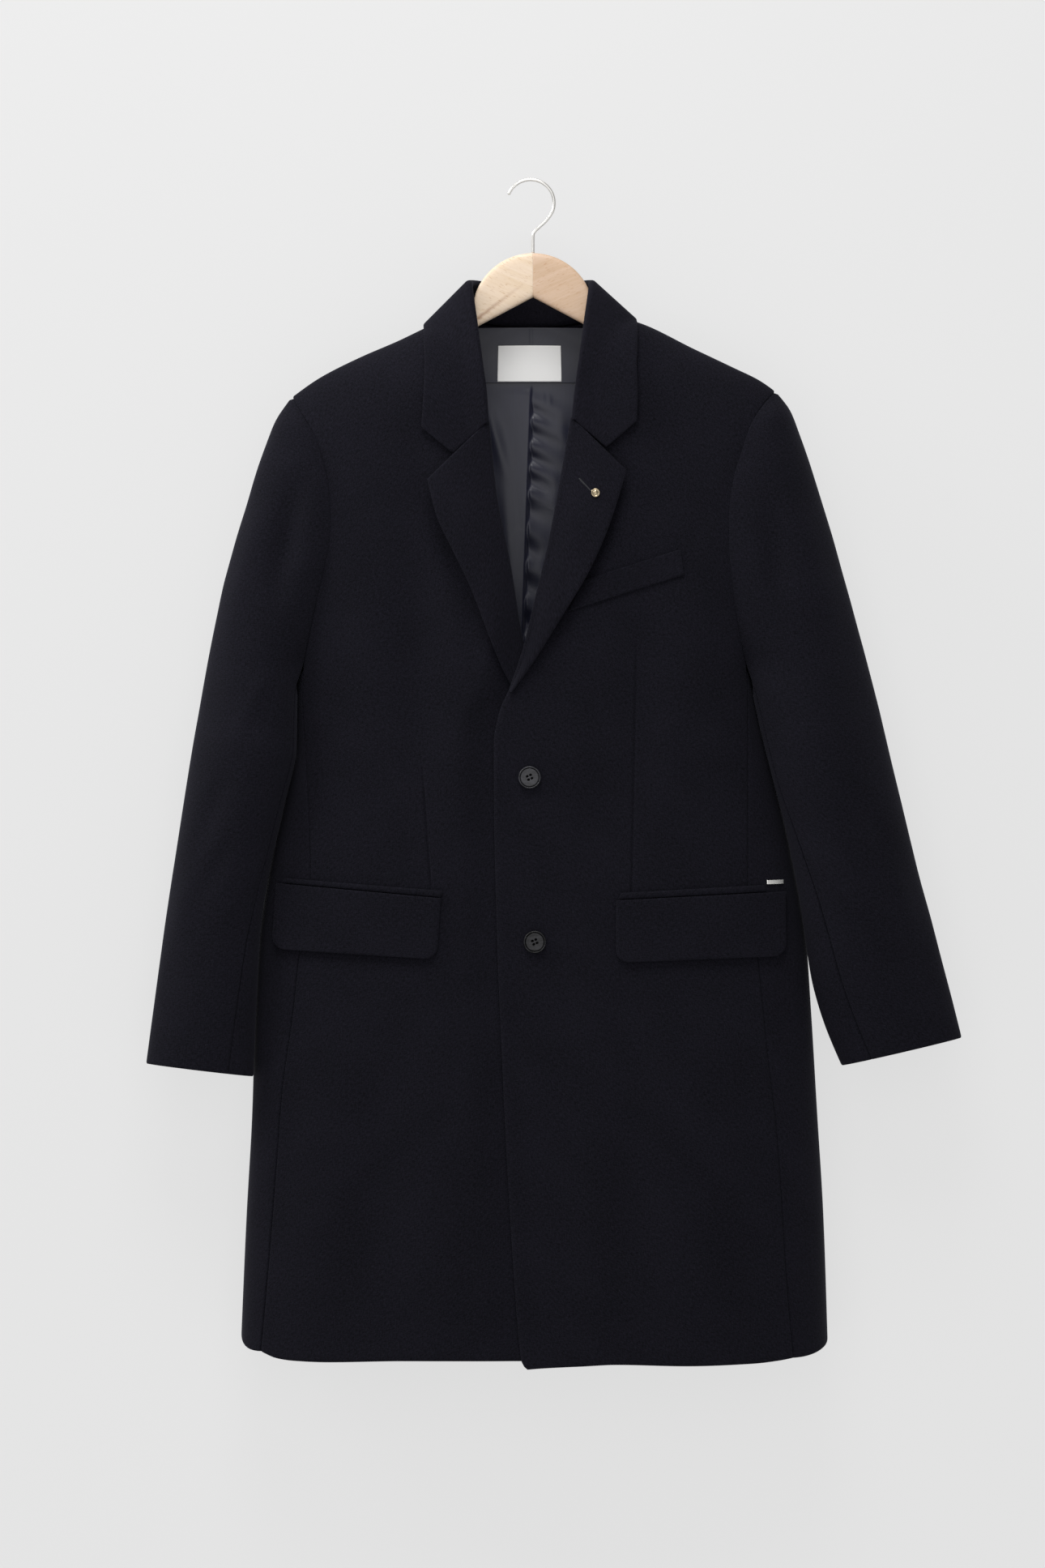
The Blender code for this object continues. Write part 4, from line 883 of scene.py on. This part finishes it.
# Adds a sleeve: rows laid densely and smoothly through its key rows, then moved out by its creases.
def addSleeve(node, keys, rows):
    run = np.concatenate([[0.0], np.cumsum(np.linalg.norm(np.diff(keys, axis=0), axis=-1).mean(axis=1))])
    grid = through(run, keys, spaced(run[-1], sleeves["step"][0]) * run[-1])
    normal = gridNormals(grid)
    r, c = grid.shape[0] // 2, grid.shape[1] // 2
    if np.dot(normal[r, c], grid[r, c] - grid.reshape(-1, 3).mean(axis=0)) < 0:
        normal = -normal
    left, _, top, _ = edgeDistances(grid)
    apex = np.argmax(np.abs(grid[..., 0]), axis=1)
    around = left - np.take_along_axis(left, apex[:, None], axis=1)
    folds = creases(around, grid[..., 2], rows) * np.clip(top / sleeves["creaseFade"], 0, 1)
    rounds = (cloth["seamRound"], cloth["seamRound"], 1.0, cloth["freeRound"])
    addUnder(node, grid + normal * (folds - sunk(grid, rounds))[..., None], normal, rounds)


def buildSleeves():
    for name, sign in sides:
        given, (start, end), (count, crowd) = sleeves[name], sleeves["tip"], sleeves["capRows"]
        shown, hidden = (spaced(spans[part], sleeves["step"][1], True, False) for part in ("topSleeve", "underSleeve"))
        shares = np.clip(np.linspace(0, 1, count) ** crowd, *sleeves["capSpan"])
        run = lengths(fronts[name]["armhole"])
        cap = through(run / run[-1], given["cap"], shares)
        fullness = np.clip((shares - start) / (end - start), 0, 1)
        halves = ("armhole", cap[:, 2], "front"), ("backArmhole", cap[:, 3], "back")
        capRows = joined(*(capHalf(cap[:, :2], along(fronts[name][line], shares), depth, fullness, shown, face)
                           for line, depth, face in halves))
        rings = through(np.linspace(0, 1, len(given["rings"])), given["rings"], np.linspace(0, 1, sleeves["ringRows"]))
        inner, outer, centre = rings[:, 0:2], rings[:, 2:4], rings[:, 6]
        seams = np.arccos(2 * rings[:, 7:9] - 1)

        # rows of sections whose angles run between a seam and the outer or the inner edge
        def sections(part, edge):
            return joined(*(sectionRows(outer, inner, rings[:, 4 + k], seams[:, k, None] * (1 - part) + edge * part,
                                        way, centre) for k, way in ((0, -1.0), (1, 1.0))))

        addSleeve(f"{name}_top_sleeve", np.concatenate([capRows, sections(shown, 0.0)]), given["creases"])
        underRows = sections(hidden, np.pi)
        gap, off = sleeves["head"]
        x, z, front = sideGrid(name, sign, np.array([0.0, 1.0]), np.linspace(0, 1, underRows.shape[1]), gap)
        head = onSide(x[:1], z[:1], front[:1], off)
        addSleeve(f"{name}_under_sleeve", np.concatenate([head, underRows]), ())


buildSleeves()
print("sleeves made")

# Collar and lapels

collar = {
    # neck seam, fold and outer edge, radius of the fold, dip of the end, from the gorge to the centre back
    "half": (
        (50, -44, -228, 39, -47.5, -232, 102, -46, -233, 3.4, 26),
        (53, -43, -208, 42, -46, -204, 103, -43, -208, 3.4, 9),
        (59, -41, -188, 45, -45, -182, 102, -36, -180, 3.2, 0),
        (69, -30, -154, 51, -32, -138, 103, -24, -158, 3.6, 0),
        (76, -2, -128, 57, -4, -97, 103, -2, -133.5, 4, 0),
        (64, 16, -130.5, 50, 22, -95, 94, 27, -153, 4, 0),
        (36, 29, -136.6, 28, 35, -98, 54, 42, -165, 4, 0),
        (0, 33, -139.6, 0, 39, -100, 0, 45, -169, 4, 0),
    ),
    # rows that differ on the wearer's right
    "right": {0: (50, -44, -231, 40, -47.5, -235.5, 105, -46, -239, 3.4, 27),
              4: (76, -2, -128, 57, -4, -97, 104, -2, -138.5, 4, 0)},
    "columns": (8, 16),     # points up the stand and round the fold
    "step": (4.0, 3.0),     # spacing of points along the collar and down the fall
    "lift": (2.6, 2.6),     # air under the fall at its fold, and how much more at its edge
}


# Points moved out in y where they are nearer to the body than the given distance.
def clearOfBody(points, out):
    x, y, z = np.moveaxis(points, -1, 0)
    ahead = draped(x, z, "front")[..., 1] - out
    behind = draped(x, z, "back")[..., 1] + out
    clear = np.where(y < 0, np.minimum(y, ahead), np.maximum(y, behind))
    return np.stack([x, np.where(z < ridgeLine(x), clear, y), z], axis=-1)


# Stand, fold and fall: straight up from the neck seam, a half round over the fold, straight down to the edge.
def buildCollar():
    left = np.asarray(collar["half"], float)
    right = left.copy()
    for place, row in collar["right"].items():
        right[place] = row
    right[:, [0, 3, 6]] *= -1
    rows = np.concatenate([right, left[-2::-1]])
    run = lengths(rows[:, 6:9])
    rows = through(run, rows, spaced(run[-1], collar["step"][0]) * run[-1])
    base, fold, edge, roll, dip = rows[:, 0:3], rows[:, 3:6], rows[:, 6:9], rows[:, 9:10], rows[:, 10]
    heading = np.gradient(fold, axis=0)
    up = fold - (base + edge) / 2
    up = unit(up - heading * ((up * heading).sum(axis=1) / (heading ** 2).sum(axis=1))[:, None])
    outward = unit(np.cross(up, heading))
    stand, bend = collar["columns"]
    turn = np.linspace(0, np.pi, bend)[None, :, None]
    arc = (fold - up * roll)[:, None] + roll[:, None] * (up[:, None] * np.sin(turn) - outward[:, None] * np.cos(turn))
    t = np.linspace(0, 1, stand)[None, :-1, None]
    rise = base[:, None] + (arc[:, :1] - base[:, None]) * t
    t = spaced(spans["fall"], collar["step"][1], False, True)[None, 1:, None]
    drop = arc[:, -1:] + (edge[:, None] - arc[:, -1:]) * t
    t = t[..., 0]
    drop[..., 2] -= dip[:, None] * (1 - np.abs(2 * t - 1))
    air, more = collar["lift"]
    grid = np.concatenate([clearOfBody(rise, cloth["lay"]), arc, clearOfBody(drop, cloth["wool"] + air + more * t)],
                          axis=1)
    normal = gridNormals(grid)
    if normal[len(grid) // 2, -1, 1] < 0:
        normal = -normal
    addUnder("collar", grid, normal, (0.0, cloth["freeRound"], cloth["seamRound"], cloth["seamRound"]))


lapels = {
    "left": {
        "edge": ((92, -281.5), (75, -335), (56, -378), (27, -426), (4, -463), (-18, -494)),
        "roll": ((39.6, -229.4), (31, -280), (17, -355), (4, -409), (-6, -451), (-20, -493)),
    },
    "right": {
        "edge": ((-99, -289.5), (-90, -325), (-76, -355), (-60, -388), (-27, -471), (-16, -492)),
        "roll": ((-40.7, -232.4), (-34, -300), (-20, -372), (-7, -449), (-2, -466)),
    },
    "roll": (4.6, 2.6),     # radius of the fold's middle layer at the top and at the bottom
    "rollShare": 0.3,       # and its most, as a share of the lapel's width
    "facing": 7.0,          # cloth turned under behind the front's edge, less where the lapel is narrower than this
    "facingFull": 30.0,
    "edgeLift": (2.5, 10.0),   # air under the outer edge at its ends and in between
    "liftFrom": 0.22,       # share of a half wave with which that air starts at the top
    "belly": 0.8,
    "thick": 3.0,           # two layers of cloth
    "step": 4.0,
    "rounds": (0.0, 4.5, cloth["seamRound"], 1.0),
}


# Each row is a path across the lapel: in from behind the front's edge, a half round over it, then out to the lapel's
# edge. The path runs in distance from the roll line and height above the body.
def buildLapels():
    long, wide = spans["lapel"]
    down = spaced(long, lapels["step"])
    shares = spaced(wide, lapels["step"], False, True)[None, 1:]
    turn = np.linspace(-np.pi / 2, np.pi / 2, 15)[None]
    hidden = np.linspace(1, 0, 5)[None, :-1]
    below = -cloth["wool"] / 2
    low, high = lapels["edgeLift"]
    lift = low + (high - low) * np.sin(np.pi * (lapels["liftFrom"] + (1 - lapels["liftFrom"]) * down))[:, None]
    for name, _ in sides:
        roll, edge = along(lapels[name]["roll"], down), along(lapels[name]["edge"], down)
        width = np.linalg.norm(edge - roll, axis=1)[:, None]
        toEdge = (edge - roll) / width
        radius = (lapels["roll"][0] + (lapels["roll"][1] - lapels["roll"][0]) * down)[:, None]
        radius = np.minimum(radius, width * lapels["rollShare"])
        away = np.concatenate([radius + lapels["facing"] * hidden * np.minimum(1, width / lapels["facingFull"]),
                               radius * (1 - np.cos(turn)), radius + (width - radius) * shares], axis=1)
        top = below + radius
        belly = (top + (lapels["thick"] / 2 + lift - top) * (1 - (1 - shares) ** 2)
                 + lapels["belly"] * np.sin(np.pi * shares))
        height = np.concatenate([below - radius + 0 * hidden, below + radius * np.sin(turn), belly], axis=1)
        tangent = unit(np.stack([np.gradient(away, axis=1), np.gradient(height, axis=1)], axis=-1))

        # the paths moved out along their own normals and laid on the body
        def place(offset):
            a = away - tangent[..., 1] * offset
            h = height + tangent[..., 0] * offset
            x, z = (roll[:, None, k] + toEdge[:, None, k] * a for k in (0, 1))
            if name == "right":
                h = h - tuck(x, z)
            return torso(x, z, "front", h + drape(x, z, "front") * (1 - np.clip(a / width, 0, 1)))

        lapels[name]["outer"] = addWall(f"{name}_lapel", place, 0.0, lapels["thick"], lapels["rounds"], wool,
                                        [f"{name}_front"])


buildCollar()
buildLapels()
print("collar and lapels made")

# Pockets

pockets = {
    # thickness, radius of the lower corners, how far the last end and the lower edge stand off, rounds of the edges,
    # and for each piece its two upper and two lower corners
    "flap": {"thick": 3.0, "corner": 12.0, "lift": 0.9, "proud": 1.6, "rounds": (3.0, 3.0, 2.0, 3.0), "corners": {
        "left_flap": ((82, -693), (244, -685), (82, -753), (244, -747)),
        "right_flap": ((-86, -691), (-243, -677), (-90, -750), (-247, -740))}},
    "jet": {"thick": 3.0, "corner": 0.0, "lift": 0.3, "proud": 0.0, "rounds": (2.0, 2.0, 3.2, 3.2), "corners": {
        "left_jet": ((87, -686), (224, -678.5), (84, -692), (226, -684.8)),
        "right_jet": ((-84, -684), (-235, -672), (-86, -690), (-238, -676.5))}},
    "welt": {"thick": 2.0, "corner": 0.0, "lift": 0.0, "proud": 0.0, "rounds": (2.0, 2.0, 1.4, 2.4), "corners": {
        "chest_welt": ((50, -386), (144, -356), (36, -416), (147, -381))}},
    "step": (3.0, 4.0),
}


# Grid over a four-cornered piece: straight blends between its corners, the lower corners rounded by a circle.
def strip(corners, step, corner=0.0):
    (ax, az), (bx, bz), (cx, cz), (dx, dz) = corners
    height, width = np.hypot(cx - ax, cz - az), np.hypot(bx - ax, bz - az)
    v = spaced(height, step[0])
    if corner:
        turn = np.linspace(0, np.pi / 2, 12)[1:]
        v = np.concatenate([spaced(height - corner, step[0], True, False) * (1 - corner / height),
                            1 - corner * (1 - np.sin(turn)) / height])
    past = np.clip(v * height - (height - corner), 0, corner)
    inset = ((corner - np.sqrt(corner ** 2 - past ** 2)) / width)[:, None]
    u = inset + spaced(width, step[1])[None] * (1 - 2 * inset)
    v = v[:, None]
    x = (1 - v) * (ax + u * (bx - ax)) + v * (cx + u * (dx - cx))
    z = (1 - v) * (az + u * (bz - az)) + v * (cz + u * (dz - cz))
    return np.stack([x, z], axis=-1), v


def buildPockets():
    for kind in ("flap", "jet", "welt"):
        given = pockets[kind]
        for name, corners in given["corners"].items():
            area, v = strip(corners, pockets["step"], given["corner"])
            u = np.linspace(0, 1, area.shape[1])[None]
            middle = cloth["lay"] + given["thick"] / 2 + given["lift"] * u ** 2 + given["proud"] * v ** 2
            owner = "right_front" if name.startswith("right") else "left_front"
            addWall(name, over(area, "front"), middle, given["thick"], given["rounds"], wool, [owner])


buildPockets()
print("pockets made")

# Lining and label

linings = {
    # two upper and two lower corners, depth below the coat's outer surface, finish
    "lining_yoke": (((-62, -138.4), (62, -138.4), (-100, -193), (100, -193)), 4.8, satin),
    "lining_back": (((-100, -189), (100, -189), (-80, -520), (80, -520)), 3.6, satin),
    "neck_label": (((-32, -155.8), (30, -155.8), (-32, -191.6), (30, -191.6)), 6.6, cotton),
}
liningStep, liningRounds = (2.0, 1.2), (0.8,) * 4
# the centre pleat's line, its step and how soon that dies away to the side, the height over which it begins, and how
# far the lining hangs off the back, over another height
pleat = {"x": (1.0, -8.0), "z": (-193.0, -450.0), "depth": 2.2, "soft": 0.8, "reach": 30.0, "over": 12.0, "off": 3.0,
         "offOver": 34.0}
puckers = (
    # x, z at both ends, width, height into the coat: slack satin on both sides of the pleat
    (-48, -196, -20, -296, 7, 2.4), (-28, -250, -16, -430, 8, 1.4), (-40, -300, -34, -460, 8, -0.8),
    (12, -197, 13, -216, 2.4, 0.5), (17.5, -198, 19, -219, 2.4, 0.5), (24, -214, 36, -262, 7, 1.0),
    (20, -270, 26, -330, 7, 0.9), (42, -200, 46, -330, 9, -0.8), (8, -330, 14, -420, 6, 0.8),
)
# heights where the drag folds beside the pleat turn dark, their rise, how far from the pleat they start, their reach
# from it and their fall
dragFolds = {"dark": (-188.0, -212.0, -234.6, -258.5, -279.7, -306.0, -343.0, -378.0, -415.0, -452.0, -520.0),
             "rise": 2.7, "start": 2.5, "reach": 16.0, "fall": 0.45}
yokeSeam = {"x": 0.5, "width": 1.1, "depth": 0.5}


# How far the lining stands off the back: a step down the centre pleat, drag folds on its one side (a sine down the
# pleat that dies away across) and soft puckers.
def slack(x, z):
    line = np.interp(-z, -np.array(pleat["z"]), pleat["x"])
    step = 0.5 * (1 - np.tanh((x - line) / pleat["soft"]))
    fold = pleat["depth"] * step * np.exp(-np.clip(line - x, 0, None) / pleat["reach"])
    away = np.clip(x - line, 0, None)
    dark = -np.array(dragFolds["dark"])
    phase = np.interp(-z - dragFolds["fall"] * away, dark, np.arange(len(dark)))
    near = np.exp(-away / dragFolds["reach"]) * np.clip(away / dragFolds["start"], 0, 1)
    drag = -dragFolds["rise"] * np.sin(2 * np.pi * phase) * near
    below = pleat["z"][0] - z
    return (eased(below / pleat["offOver"]) * (pleat["off"] + drag)
            + eased(below / pleat["over"]) * (fold + creases(x, z, puckers)))


def buildLining():
    for name, (corners, deep, finish) in linings.items():
        area, _ = strip(corners, liningStep)
        x, z = area[..., 0], area[..., 1]
        middle = -deep + 0 * x
        if name == "lining_back":
            middle = middle - slack(x, z)
        if name == "lining_yoke":
            middle = middle + yokeSeam["depth"] * bell((x - yokeSeam["x"]) / yokeSeam["width"])
        addWall(name, over(area, "back", torso), middle, -cloth["lining"], liningRounds, finish, ["back"])


buildLining()
print("lining made")

# Buttons, stud and tag

buttons = {
    "places": {"button_top": (-1, -575), "button_low": (4, -733)},
    "radius": 10.8, "thick": 4.2, "sides": 96,
    # radius and height in shares of the above, from under the middle round the rim to the middle of the face
    "profile": ((0.0, 0.0), (0.62, 0.0), (0.90, 0.2), (0.985, 0.45), (1.0, 0.65), (0.975, 0.88), (0.94, 1.0),
                (0.89, 0.97), (0.85, 0.56), (0.81, 0.76), (0.74, 0.84), (0.5, 0.78), (0.0, 0.74)),
    "holeAway": 2.45, "holeRadius": 1.05, "holeEdge": 0.2, "holeDepth": 2.8, "turn": -0.4, "stretch": 1.12,
}
stud = {"place": (62, -303), "radius": 4.3, "thick": 2.6, "sides": 48,
        "profile": ((0.0, 0.0), (0.8, 0.0), (1.0, 0.3), (1.0, 0.6), (0.86, 0.9), (0.7, 0.86), (0.62, 0.7), (0.5, 0.8),
                    (0.3, 1.0), (0.0, 1.08))}


# A turned piece on the front: its profile carried round the body's normal, with a relief added to the height.
def addTurned(name, node, given, place, out, shares, finish, relief):
    foot = draped(*place, "front", out)
    normal = unit(draped(*place, "front", out + 1.0) - foot)
    across = unit(np.cross(normal, (0, 0, 1)))
    upward = np.cross(across, normal)
    angle = np.linspace(0, 2 * np.pi, given["sides"] + 1)[None]
    radius, height = along(np.array(given["profile"]) * (given["radius"], given["thick"]), shares).T[..., None]
    radius = np.maximum(radius, 0.01)
    height = height + relief(radius * np.cos(angle), radius * np.sin(angle), height)
    points = (foot + normal * height[..., None]
              + (across * np.cos(angle)[..., None] + upward * np.sin(angle)[..., None]) * radius[..., None])
    flat = np.stack([radius * angle, height + 0 * angle], axis=-1)
    addPiece(name, node, points, ringQuads(*points.shape[:2]), flat, finish)


# Four wells in the button's face: a smooth step down inside each hole's radius.
def fourHoles(x, y, height):
    total = np.zeros(np.broadcast(x, y).shape)
    c, d = np.cos(buttons["turn"]), np.sin(buttons["turn"])
    for k in range(4):
        angle = buttons["turn"] + np.pi / 4 + k * np.pi / 2
        dx, dy = x - buttons["holeAway"] * np.cos(angle), y - buttons["holeAway"] * np.sin(angle)
        away = np.hypot((dx * c + dy * d) / buttons["stretch"], dy * c - dx * d)
        inside = (buttons["holeRadius"] + buttons["holeEdge"] - away) / (2 * buttons["holeEdge"])
        total -= buttons["holeDepth"] * eased(inside)
    return total * (height > buttons["thick"] * 0.5)


def buildButtons():
    # closer points over the rim and the face than underneath
    shares = np.unique(np.concatenate([np.linspace(0, 0.3, 8), np.linspace(0.3, 0.78, 34), np.linspace(0.78, 1, 24)]))
    for name, place in buttons["places"].items():
        addTurned(f"{name}_horn", name, buttons, place, cloth["lay"], shares, horns[name], fourHoles)
    x, z = stud["place"]
    outer = lapels["left"]["outer"].reshape(-1, 3)
    near = outer[np.argsort(np.hypot(outer[:, 0] - x, outer[:, 2] - z))[:4]]
    out = draped(x, z, "front")[1] - near[:, 1].min()
    addTurned("lapel_stud", "lapel_pin", stud, (x, z), out, 40, brass, lambda x, y, height: 0 * x * y)


tag = {"corners": ((227, -674), (243, -673.5), (227, -678), (243, -677.5)), "thick": 1.0, "off": 1.0,
       "step": (0.6, 1.0), "rounds": (0.5,) * 4}
# sewn slit beside the stud, and how many points of the lapel, near it in depth, its plane is fitted to
buttonhole = {"from": (46.5, -288.5), "to": (58.0, -300.5), "width": 1.5, "thick": 0.6, "step": (0.3, 0.8),
              "rounds": (0.8,) * 4, "fitted": 40, "fitDepth": 1.5}


def buildTag():
    area, _ = strip(tag["corners"], tag["step"])
    addWall("metal_tag", over(area, "front"), tag["off"], tag["thick"], tag["rounds"], nickel, name="metal_tag_bar")


# The sewn slit: a narrow raised strip on the plane that best fits the lapel there.
def buildButtonhole():
    a, b = np.array(buttonhole["from"]), np.array(buttonhole["to"])
    across = np.array((a[1] - b[1], b[0] - a[0])) / np.linalg.norm(b - a) * buttonhole["width"] / 2
    area, _ = strip((a + across, b + across, a - across, b - across), buttonhole["step"])
    outer = lapels["left"]["outer"].reshape(-1, 3)
    x, z = (a + b) / 2
    near = outer[np.argsort(np.hypot(outer[:, 0] - x, outer[:, 2] - z))]
    near = near[near[:, 1] < near[0, 1] + buttonhole["fitDepth"]][:buttonhole["fitted"]]
    fit = np.linalg.lstsq(np.stack([near[:, 0], near[:, 2], np.ones(len(near))], axis=1), near[:, 1], rcond=None)[0]
    x, z = area[..., 0], area[..., 1]
    grid = np.stack([x, fit[0] * x + fit[1] * z + fit[2], z], axis=-1)
    normal = unit(np.array((fit[0], -1.0, fit[1])))
    addWall("left_lapel", lambda out: grid + normal * np.asarray(out)[..., None], 0.0, buttonhole["thick"],
            buttonhole["rounds"], thread, name="lapel_buttonhole_thread")


buildButtons()
buildTag()
buildButtonhole()
print("buttons, stud and tag made")

# Hanger and hook

hanger = {
    "half": 6.5, "domeRadius": 59.0, "domeEdge": 55.0, "notch": -112.0, "notchSlope": 0.53, "armStart": 74.0,
    "armEnd": 198.0, "armClear": (5.0, 3.2), "shankX": 2.3, "shankBottom": -69.0, "endRound": 14.0,
    "square": (5.0, 2.4),   # superellipse exponents of the section, in the dome and along the arm
}
hook = {"wire": 1.7, "inner": 21.0, "from": 160.0, "to": -18.0,
        "leg": ((19.6, -32.0), (15.0, -38.0), (8.5, -44.0), (4.0, -48.5), (2.4, -52.0), (2.3, -58.0))}


# Upper edge of the hanger: a circular dome, then an arm just under the shoulder line.
def hangerTop(x):
    out = np.abs(x - hanger["shankX"])
    radius, edge, start = hanger["domeRadius"], hanger["domeEdge"], hanger["armStart"]
    middle = hanger["shankBottom"] - cloth["lay"] - radius
    dome = middle + np.sqrt(np.maximum(radius ** 2 - out ** 2, 0))
    arm = ridgeLine(x) - np.interp(out, (start, hanger["armEnd"]), hanger["armClear"])
    t = np.clip((out - edge) / (start - edge), 0, 1)
    knee = middle + np.sqrt(radius ** 2 - edge ** 2)
    slope = knee + (ridgeLine(np.sign(x) * start) - hanger["armClear"][0] - knee) * np.sqrt(t)
    return np.where(t <= 0, dome, np.where(t >= 1, arm, slope))


# Closed tube through rings of points, its ends drawn in to a point.
def addTube(name, node, rings, finish):
    first, last = rings[:1].mean(axis=1, keepdims=True), rings[-1:].mean(axis=1, keepdims=True)
    grid = np.concatenate([first + (rings[:1] - first) * 0.01, rings, last + (rings[-1:] - last) * 0.01])
    grid = np.concatenate([grid, grid[:, :1]], axis=1)
    left, _, top, _ = edgeDistances(grid)
    addPiece(name, node, grid, ringQuads(*grid.shape[:2]), np.stack([left, top], axis=-1), finish)


# Each arm: superellipse sections between the upper edge and the straight lower one, drawn in at the arm's end.
def buildHanger():
    angle = np.linspace(0, 2 * np.pi, 56, endpoint=False)[None]
    edge, start, last = hanger["domeEdge"], hanger["armStart"], hanger["armEnd"]
    # closer sections where the two arms meet, with a narrow chamfer
    out = np.concatenate([[0.02, 0.3, 0.7], np.linspace(1.5, edge, 44), np.linspace(edge, last, 60)[1:]])
    end = np.sqrt(np.clip((last - out) / hanger["endRound"], 0.02, 1.0)) * np.interp(out, (0.02, 0.7), (0.985, 1.0))
    power = np.interp(out, (edge, start), hanger["square"])[:, None]
    y, rise = (np.sign(wave) * np.abs(wave) ** (2 / power) for wave in (np.cos(angle), np.sin(angle)))
    y = (hanger["half"] * end)[:, None] * y
    for name, sign in sides:
        x = hanger["shankX"] + sign * out
        top, bottom = hangerTop(x), hanger["notch"] - hanger["notchSlope"] * out
        z = ((top + bottom) / 2)[:, None] + ((top - bottom) / 2 * end)[:, None] * rise
        addTube(f"{name}_hanger_wood", f"{name}_hanger_arm", np.stack([x[:, None] + 0 * y, y, z], axis=-1),
                beeches[name])


# A round wire along the hook's path: the bow, then a straight shank; the free end is rounded off.
def buildHook():
    bow = hook["inner"] + hook["wire"]
    turn = np.radians(np.linspace(hook["from"], hook["to"], 60))
    path = np.concatenate([np.stack([bow * np.cos(turn), bow * np.sin(turn) - hook["inner"]], axis=1),
                           hook["leg"], [(hanger["shankX"], hanger["shankBottom"])]])
    path = along(path, 140)
    tangent = unit(np.gradient(path, axis=0))
    radius = hook["wire"] * np.sqrt(1 - (1 - np.clip(lengths(path) / hook["wire"], 0.05, 1)) ** 2)[:, None]
    angle = np.linspace(0, 2 * np.pi, 20, endpoint=False)[None]
    side = np.cos(angle) * radius
    rings = np.stack([path[:, :1] - tangent[:, 1:] * side, np.sin(angle) * radius, path[:, 1:] + tangent[:, :1] * side],
                     axis=-1)
    addTube("hook_wire", "hook", rings, steel)


buildHanger()
buildHook()
print("hanger made")

# Stage, light and camera

stage = {"wall": 66.0, "floor": -1480.0, "reach": 4000.0, "paint": "#646464", "glow": 0.66}


def addPlane(name, corners, finish):
    mesh = bpy.data.meshes.new(name)
    mesh.from_pydata(np.array(corners) / metre, [], [(0, 1, 2, 3)])
    mesh.materials.append(finish)
    made = bpy.data.objects.new(name, mesh)
    bpy.context.scene.collection.objects.link(made)


# A lit studio wall: its glow keeps the shadows faint. Its far side is clear, so that the back can be looked at.
def buildStage():
    made, shader = newMaterial("lit_matt_paint", {
        "Roughness": 1.0, "Specular IOR Level": 0.0, "Base Color": linear(stage["paint"]),
        "Emission Color": (1, 1, 1, 1), "Emission Strength": stage["glow"]})
    behind = addNode(made, "ShaderNodeNewGeometry", give="Backfacing")
    clear = addNode(made, "ShaderNodeBsdfTransparent")
    mixed = addNode(made, "ShaderNodeMixShader", {0: behind, 1: shader.outputs[0], 2: clear})
    fill(made.node_tree.nodes["Material Output"], {"Surface": mixed})
    reach, y, z = stage["reach"], stage["wall"], stage["floor"]
    addPlane("wall", [(-reach, y, z), (reach, y, z), (reach, y, z + reach), (-reach, y, z + reach)], made)
    addPlane("floor", [(-reach, -reach, z), (reach, -reach, z), (reach, y, z), (-reach, y, z)], made)


# Even pale surroundings, a soft light above the viewer, a large one in front and one far off on the viewer's left.
light = {
    "sky": 0.35,
    "lamps": {
        # power, size in metres, where it stands, where it points
        "soft_key": (33.0, 1.1, (-150, -1100, 1450), (0, 0, -450)),
        "soft_front": (20.0, 2.4, (-200, -2900, -300), (0, 0, -550)),
        "soft_side": (48.0, 1.2, (-2100, -350, 1000), (0, 0, -350)),
    },
}


def buildLight():
    world = bpy.data.worlds.new("studio")
    world.use_nodes = True
    fill(world.node_tree.nodes["Background"], {"Color": (1, 1, 1, 1), "Strength": light["sky"]})
    bpy.context.scene.world = world
    for name, (power, size, place, aim) in light["lamps"].items():
        lamp = bpy.data.lights.new(name, "AREA")
        lamp.energy = power
        lamp.size = size
        made = bpy.data.objects.new(name, lamp)
        made.location = Vector(place) / metre
        made.rotation_euler = (Vector(aim) - Vector(place)).to_track_quat("-Z", "Y").to_euler()
        bpy.context.scene.collection.objects.link(made)


# The photograph is 1290 by 1935 pixels at 0.78 mm a pixel; its middle in this frame is at x, z.
camera = {"middle": (-7.8, -581.5), "distance": 9000.0, "frameHeight": 1935 * 0.78, "plane": -20.0, "sensor": 36.0}


def buildCamera():
    made = bpy.data.cameras.new("photo_camera")
    made.sensor_fit = "VERTICAL"
    made.sensor_height = camera["sensor"]
    made.lens = camera["sensor"] * camera["distance"] / camera["frameHeight"]
    made.clip_end = 100.0
    eye = bpy.data.objects.new("photo_camera", made)
    x, z = camera["middle"]
    eye.location = Vector((x, camera["plane"] - camera["distance"], z)) / metre
    eye.rotation_euler = (np.pi / 2, 0.0, 0.0)
    bpy.context.scene.collection.objects.link(eye)
    bpy.context.scene.camera = eye
    bpy.context.scene.view_settings.view_transform = "Standard"


buildStage()
buildLight()
buildCamera()
print("stage, light and camera made")
